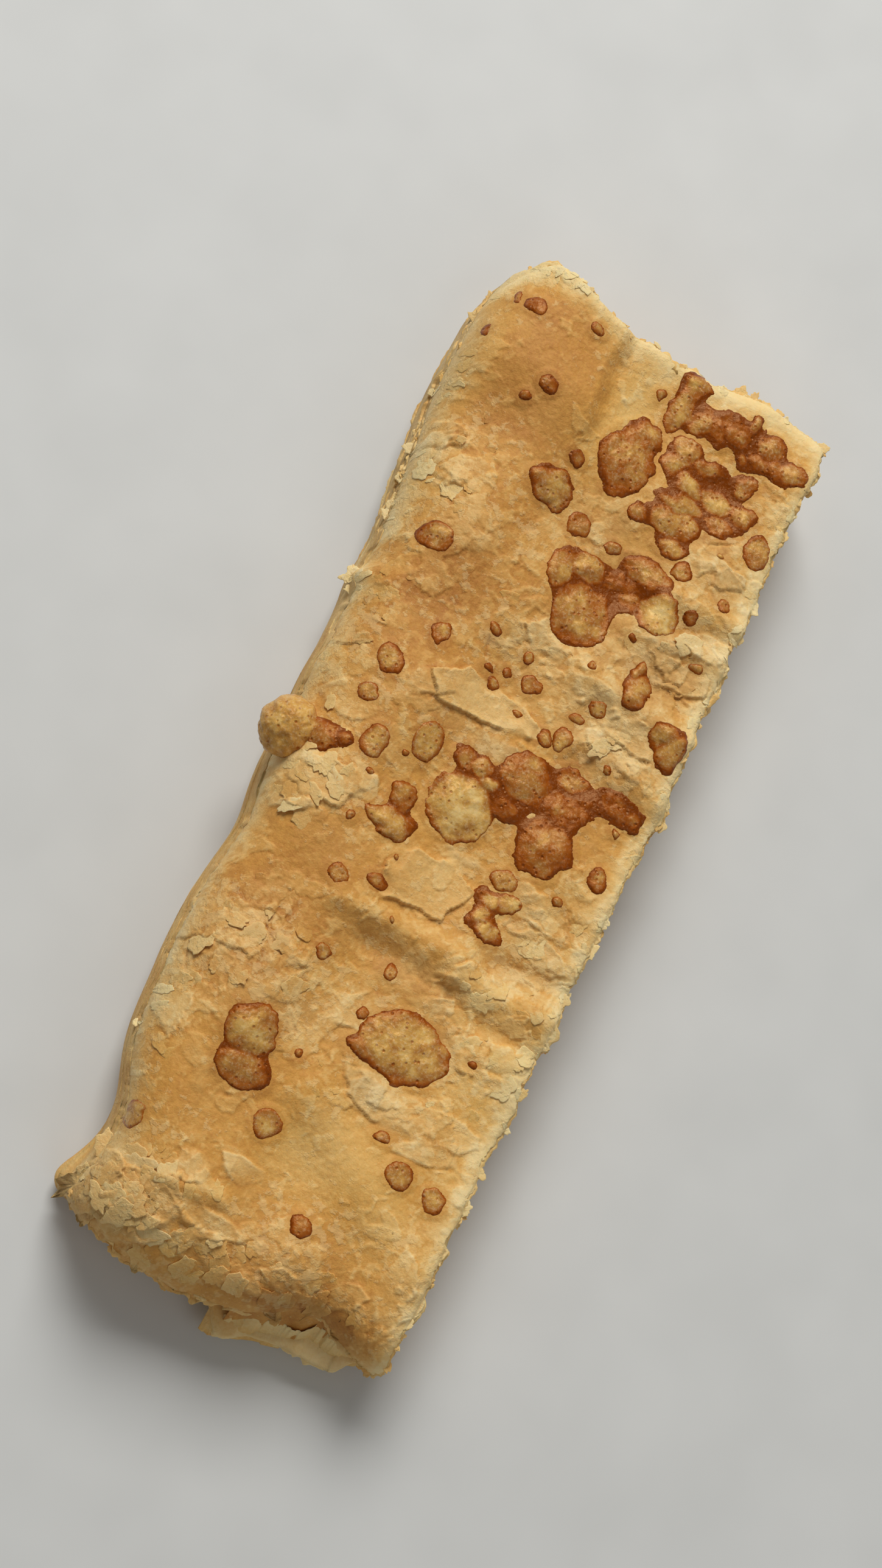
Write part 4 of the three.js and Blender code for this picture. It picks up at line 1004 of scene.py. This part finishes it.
# %% Sheet in the slit
share, x = np.meshgrid(np.linspace(0, 1, 12), np.linspace(4, 23.5, 90), indexing="ij")
back_y = edge(NEAR_EDGE, x) + 1.6
front_y = np.interp(x, RIM[:, 0], RIM[:, 1]) - 1.2
front_z, back_z = 6.2, crust_form(x, back_y) - 0.7
y = front_y + (back_y - front_y) * share
z = front_z + (back_z - front_z) * share + 0.15 * rough(x, y, 2, 89, 4)
# Its dark tone is partly baked amber and partly painted shade of the slit.
lay_sheet("slit_sheet", x, y, z, 0.66 + 0.14 * rough(x, y, 2.5, 93, 4), 0.15, -0.05)

# %% [markdown]
# ## Flakes
# Where the outer sheets broke up, flakes of a few millimetres are left. A flake is a thin closed shell with straight
# breaks: at each angle its radius is the nearest of six straight lines, and the rings run over its top and back below.

# %% Flake outlines
FLAKE_RINGS = np.array([0.1, 0.6, 0.92, 1.0, 1.0, 0.1])[:, None]
FLAKE_FALL = np.array([0, 0, 0, -0.03, -0.12, -0.14])[:, None]


def lay_flakes(at, size, narrow, heading, draw):
    """x, y and arm of flakes as (flake, ring, step); the arm is the distance from the line they lean about."""
    count, turn = len(at), np.linspace(0, 2 * np.pi, 26, endpoint=False)
    breaks = np.pi / 3 * (np.arange(6) + draw.uniform(0, 0.8, (count, 6)))
    away = draw.uniform(0.7, 1.1, (count, 6))
    radius = 1 / (np.cos(turn[None, :, None] - breaks[:, None]) / away[:, None]).max(2)
    number = np.arange(count)[:, None]
    uneven = rough(1.6 * np.cos(turn) + 7.3 * number, 1.6 * np.sin(turn) + 3.1 * number, 0.9, 181, 4, 0.7)
    radius = size[:, None] * radius * (1 + 0.26 * uneven)
    long = radius[:, None] * FLAKE_RINGS * np.cos(turn)
    arm = narrow[:, None, None] * radius[:, None] * FLAKE_RINGS * np.sin(turn)
    heading = heading[:, None, None]
    x = at[:, 0, None, None] + long * np.cos(heading) - arm * np.sin(heading)
    y = at[:, 1, None, None] + long * np.sin(heading) + arm * np.cos(heading)
    return x, y, arm


# %% [markdown]
# Along the cut sides the ends of the top sheets stick out past the border as small, flat, pale bits.

# %% Bits along the border
BITS = 190
draw = np.random.default_rng(12)
open_side = np.flatnonzero((left < 0.3) | (edge_y > 32))
pick = open_side[draw.integers(0, len(open_side), BITS)]
size = 0.35 + 0.9 * draw.uniform(0, 1, BITS) ** 2
drop = 0.35 * draw.uniform(0, 1, BITS) ** 3
at = loop[pick, :2] + outward[pick] * (draw.uniform(-0.6, 0.3, BITS) * size)[:, None]
heading = np.arctan2(out_x[pick], -out_y[pick]) + draw.normal(0, 0.6, BITS)
x, y, arm = lay_flakes(at, size, draw.uniform(0.5, 0.9, BITS), heading, draw)
middle = edge_z[pick] * (1 - drop) + draw.uniform(-0.1, 0.2, BITS)
z = middle[:, None, None] + draw.normal(0.08, 0.15, (BITS, 1, 1)) * arm + FLAKE_FALL
points, faces = shell_mesh(np.stack([x, y, z], -1))
numbers = {"tone": draw.uniform(0.05, 0.4, BITS), "dull": draw.uniform(0, 0.15, BITS),
           "floury": draw.uniform(0.2, 0.8, BITS), "flaky": np.zeros(BITS)}
numbers = {key: shell_numbers(values[:, None, None] + 0 * x) for key, values in numbers.items()}
make_piece("border_bits", points, faces, numbers, crust_material)

# %% [markdown]
# On the crust each flake is still held at one side and lifted at the other, so it leans and its held side runs into
# the crust. Flakes gather where the skin is broken, and none lies on cheese.

# %% Places of the flakes
# x, y, reach across, reach along, how many, mean half length in mm
FLAKE_PLACES = [
    (-15, -66, 4.5, 4, 44, 1.7), (4, -69, 11, 2.2, 40, 1.4), (18, 30, 5, 11, 26, 1.6),
    (18, 14, 5, 5, 14, 1.7), (18, -16, 5, 8, 24, 1.6), (17, -32, 5, 5, 10, 1.5),
    (-18, -8, 3.5, 4, 16, 1.5), (-17, -31, 4, 5, 14, 1.5), (-21, 40, 2.5, 8, 14, 1.2),
    (3, 26, 3.5, 2.5, 6, 1.3), (8, -41, 4, 2, 8, 1.2), (22, 54, 2.5, 7, 8, 1.1),
    (-22, 18, 2.5, 8, 12, 1.1), (2, 73, 14, 0.6, 26, 1), (25.8, 5, 0.4, 32, 44, 0.9),
    (-20, -45, 3, 9, 12, 1.1), (-20.8, -68.3, 0.7, 0.7, 5, 2.6), (-25.6, 23.5, 0.5, 1.1, 7, 1.1),
    (-26, 45, 0.8, 14, 26, 0.9), (-19, 73.6, 5, 0.8, 16, 1.0),
]
draw = np.random.default_rng(21)
spread = np.concatenate([draw.normal((x, y), (reach_x, reach_y), (count, 2))
                         for x, y, reach_x, reach_y, count, _ in FLAKE_PLACES])
size = np.concatenate([draw.uniform(0.5, 1.5, count) * mean for *_, count, mean in FLAKE_PLACES])
on_crust = np.minimum.reduce([
    spread[:, 0] - edge(LEFT_EDGE, spread[:, 1]) + 0.6, edge(RIGHT_EDGE, spread[:, 1]) - spread[:, 0] + 0.2,
    spread[:, 1] - edge(NEAR_EDGE, spread[:, 0]) - 0.5, edge(FAR_EDGE, spread[:, 0]) - spread[:, 1] + 0.2]) > 0
ring_turn = np.linspace(0, 2 * np.pi, 8, endpoint=False)
beside_x = spread[:, :1] + size[:, None] * np.cos(ring_turn)
beside_y = spread[:, 1:] + size[:, None] * np.sin(ring_turn)
bare = on_crust & (cheese_cover(beside_x, beside_y).max(1) < 0.4)
spread, size = spread[bare], size[bare]
count = len(size)
print("flakes:", count, "of", len(bare), "places")

# %% Flakes on the crust
x, y, arm = lay_flakes(spread, size, draw.uniform(0.5, 0.9, count), draw.uniform(0, 2 * np.pi, count), draw)
detail, under = crust_detail(spread[:, 0], spread[:, 1])
z = crust_form(x, y) + detail[:, None, None] + 0.03 + draw.uniform(0.05, 0.22, (count, 1, 1)) * arm + FLAKE_FALL
points, faces = shell_mesh(np.stack([x, y, z], -1))
# Paler at each flake's rim: partly the thin edge's own colour and partly a painted highlight.
lip = 0.07 * smoothstep(FLAKE_RINGS, 0.8, 0.95)
numbers = {key: values[:, None, None] + 0 * x for key, values in under.items()}
numbers["tone"] = numbers["tone"] + draw.normal(-0.03, 0.05, (count, 1, 1)) - lip
numbers["dull"] = 0.7 * numbers["dull"]
numbers["floury"] = np.clip(numbers["floury"] + draw.uniform(0, 0.2, (count, 1, 1)), 0, 1)
numbers = {key: shell_numbers(values) for key, values in numbers.items()}
make_piece("crust_flakes", points, faces, numbers, crust_material)

# %% [markdown]
# ## Floor
# The strip lies on a plain pale floor, matt enough to take a soft shadow without a reflection. One large square is
# enough, and a faint cloudiness keeps it from looking like a flat fill.

# %% Floor
CLOUDS = 0.06  # how many come to a millimetre
floor_material, tree, shader = new_material("pale_floor")
place = add(tree, "ShaderNodeTexCoord").outputs["Object"]
cloudy = add(tree, "ShaderNodeTexNoise", {"Vector": place, "Scale": CLOUDS / MM, "Detail": 2.0})
paper = add(tree, "ShaderNodeValToRGB", {"Fac": cloudy.outputs["Fac"]})
set_ramp(paper, [(0.3, "#D3D3CF"), (0.7, "#D8D8D4")])
tree.links.new(paper.outputs["Color"], shader.inputs["Base Color"])
shader.inputs["Roughness"].default_value = 0.6
mesh = bpy.data.meshes.new("floor")
mesh.from_pydata([(-2, -2, 0), (2, -2, 0), (2, 2, 0), (-2, 2, 0)], [], [(0, 1, 2, 3)])
floor = bpy.data.objects.new("floor", mesh)
bpy.context.scene.collection.objects.link(floor)
mesh.materials.append(floor_material)
print("floor:", len(mesh.polygons), "square")

# %% [markdown]
# ## Light
# Daylight comes from the far side, broad, soft and from high up, and picks out each step of the crust. A square area
# light stands for it, a weaker one fills the shadows from the near side, and the room adds a little from everywhere.

# %% Light
WINDOW_WATTS, FILL_WATTS, ROOM_STRENGTH = 22.2, 1.5, 0.17


def soft_light(name, direction, distance, size, watts):
    """Square light that looks at the strip from a direction, in metres and watts."""
    light = bpy.data.lights.new(name, "AREA")
    light.size, light.energy = size, watts
    lamp = bpy.data.objects.new(name, light)
    way = Vector(direction).normalized()
    lamp.location = distance * way
    lamp.rotation_euler = way.to_track_quat("Z", "Y").to_euler()
    bpy.context.scene.collection.objects.link(lamp)


soft_light("window", (-0.3, 0.95, 1.0), 1.6, 0.8, WINDOW_WATTS)
soft_light("fill", (0.7, -0.5, 0.9), 1.2, 0.9, FILL_WATTS)
world = bpy.data.worlds.new("room")
world.use_nodes = True
world.node_tree.nodes["Background"].inputs["Color"].default_value = linear("#F4F3F0")
world.node_tree.nodes["Background"].inputs["Strength"].default_value = ROOM_STRENGTH
scene = bpy.context.scene
scene.world = world
scene.view_settings.view_transform = "Standard"
print("lights:", WINDOW_WATTS, "W from the far side,", FILL_WATTS, "W of fill")

# %% [markdown]
# ## Camera
# The camera looks almost straight down on the strip from about 30 cm, as one held in a hand would, turned so that
# the length runs up the picture. Its right and up are made square to each other, and the third axis follows.

# %% Camera
TARGET, CAMERA_AWAY = Vector((0.5, -3.5, 18)) * MM, 305 * MM
SENSOR_WIDTH, FOCAL_LENGTH = 36.0, 51.99  # in mm
SHIFT_RIGHT, SHIFT_UP = -0.0041, 0.0221  # shares of the sensor
RIGHT, UP = Vector((0.885, 0.426, 0.189)).normalized(), Vector((-0.418, 0.893, 0.189))
UP = (UP - UP.dot(RIGHT) * RIGHT).normalized()
BACK = RIGHT.cross(UP)
lens = bpy.data.cameras.new("camera")
lens.sensor_width, lens.lens = SENSOR_WIDTH, FOCAL_LENGTH
lens.shift_x, lens.shift_y = SHIFT_RIGHT, SHIFT_UP
camera = bpy.data.objects.new("camera", lens)
camera.matrix_world = Matrix((RIGHT, UP, BACK)).transposed().to_4x4()
camera.location = TARGET + CAMERA_AWAY * BACK
scene.collection.objects.link(camera)
scene.camera = camera
lens.clip_start = 0.01
print("camera:", round(CAMERA_AWAY / MM), "mm from its target")
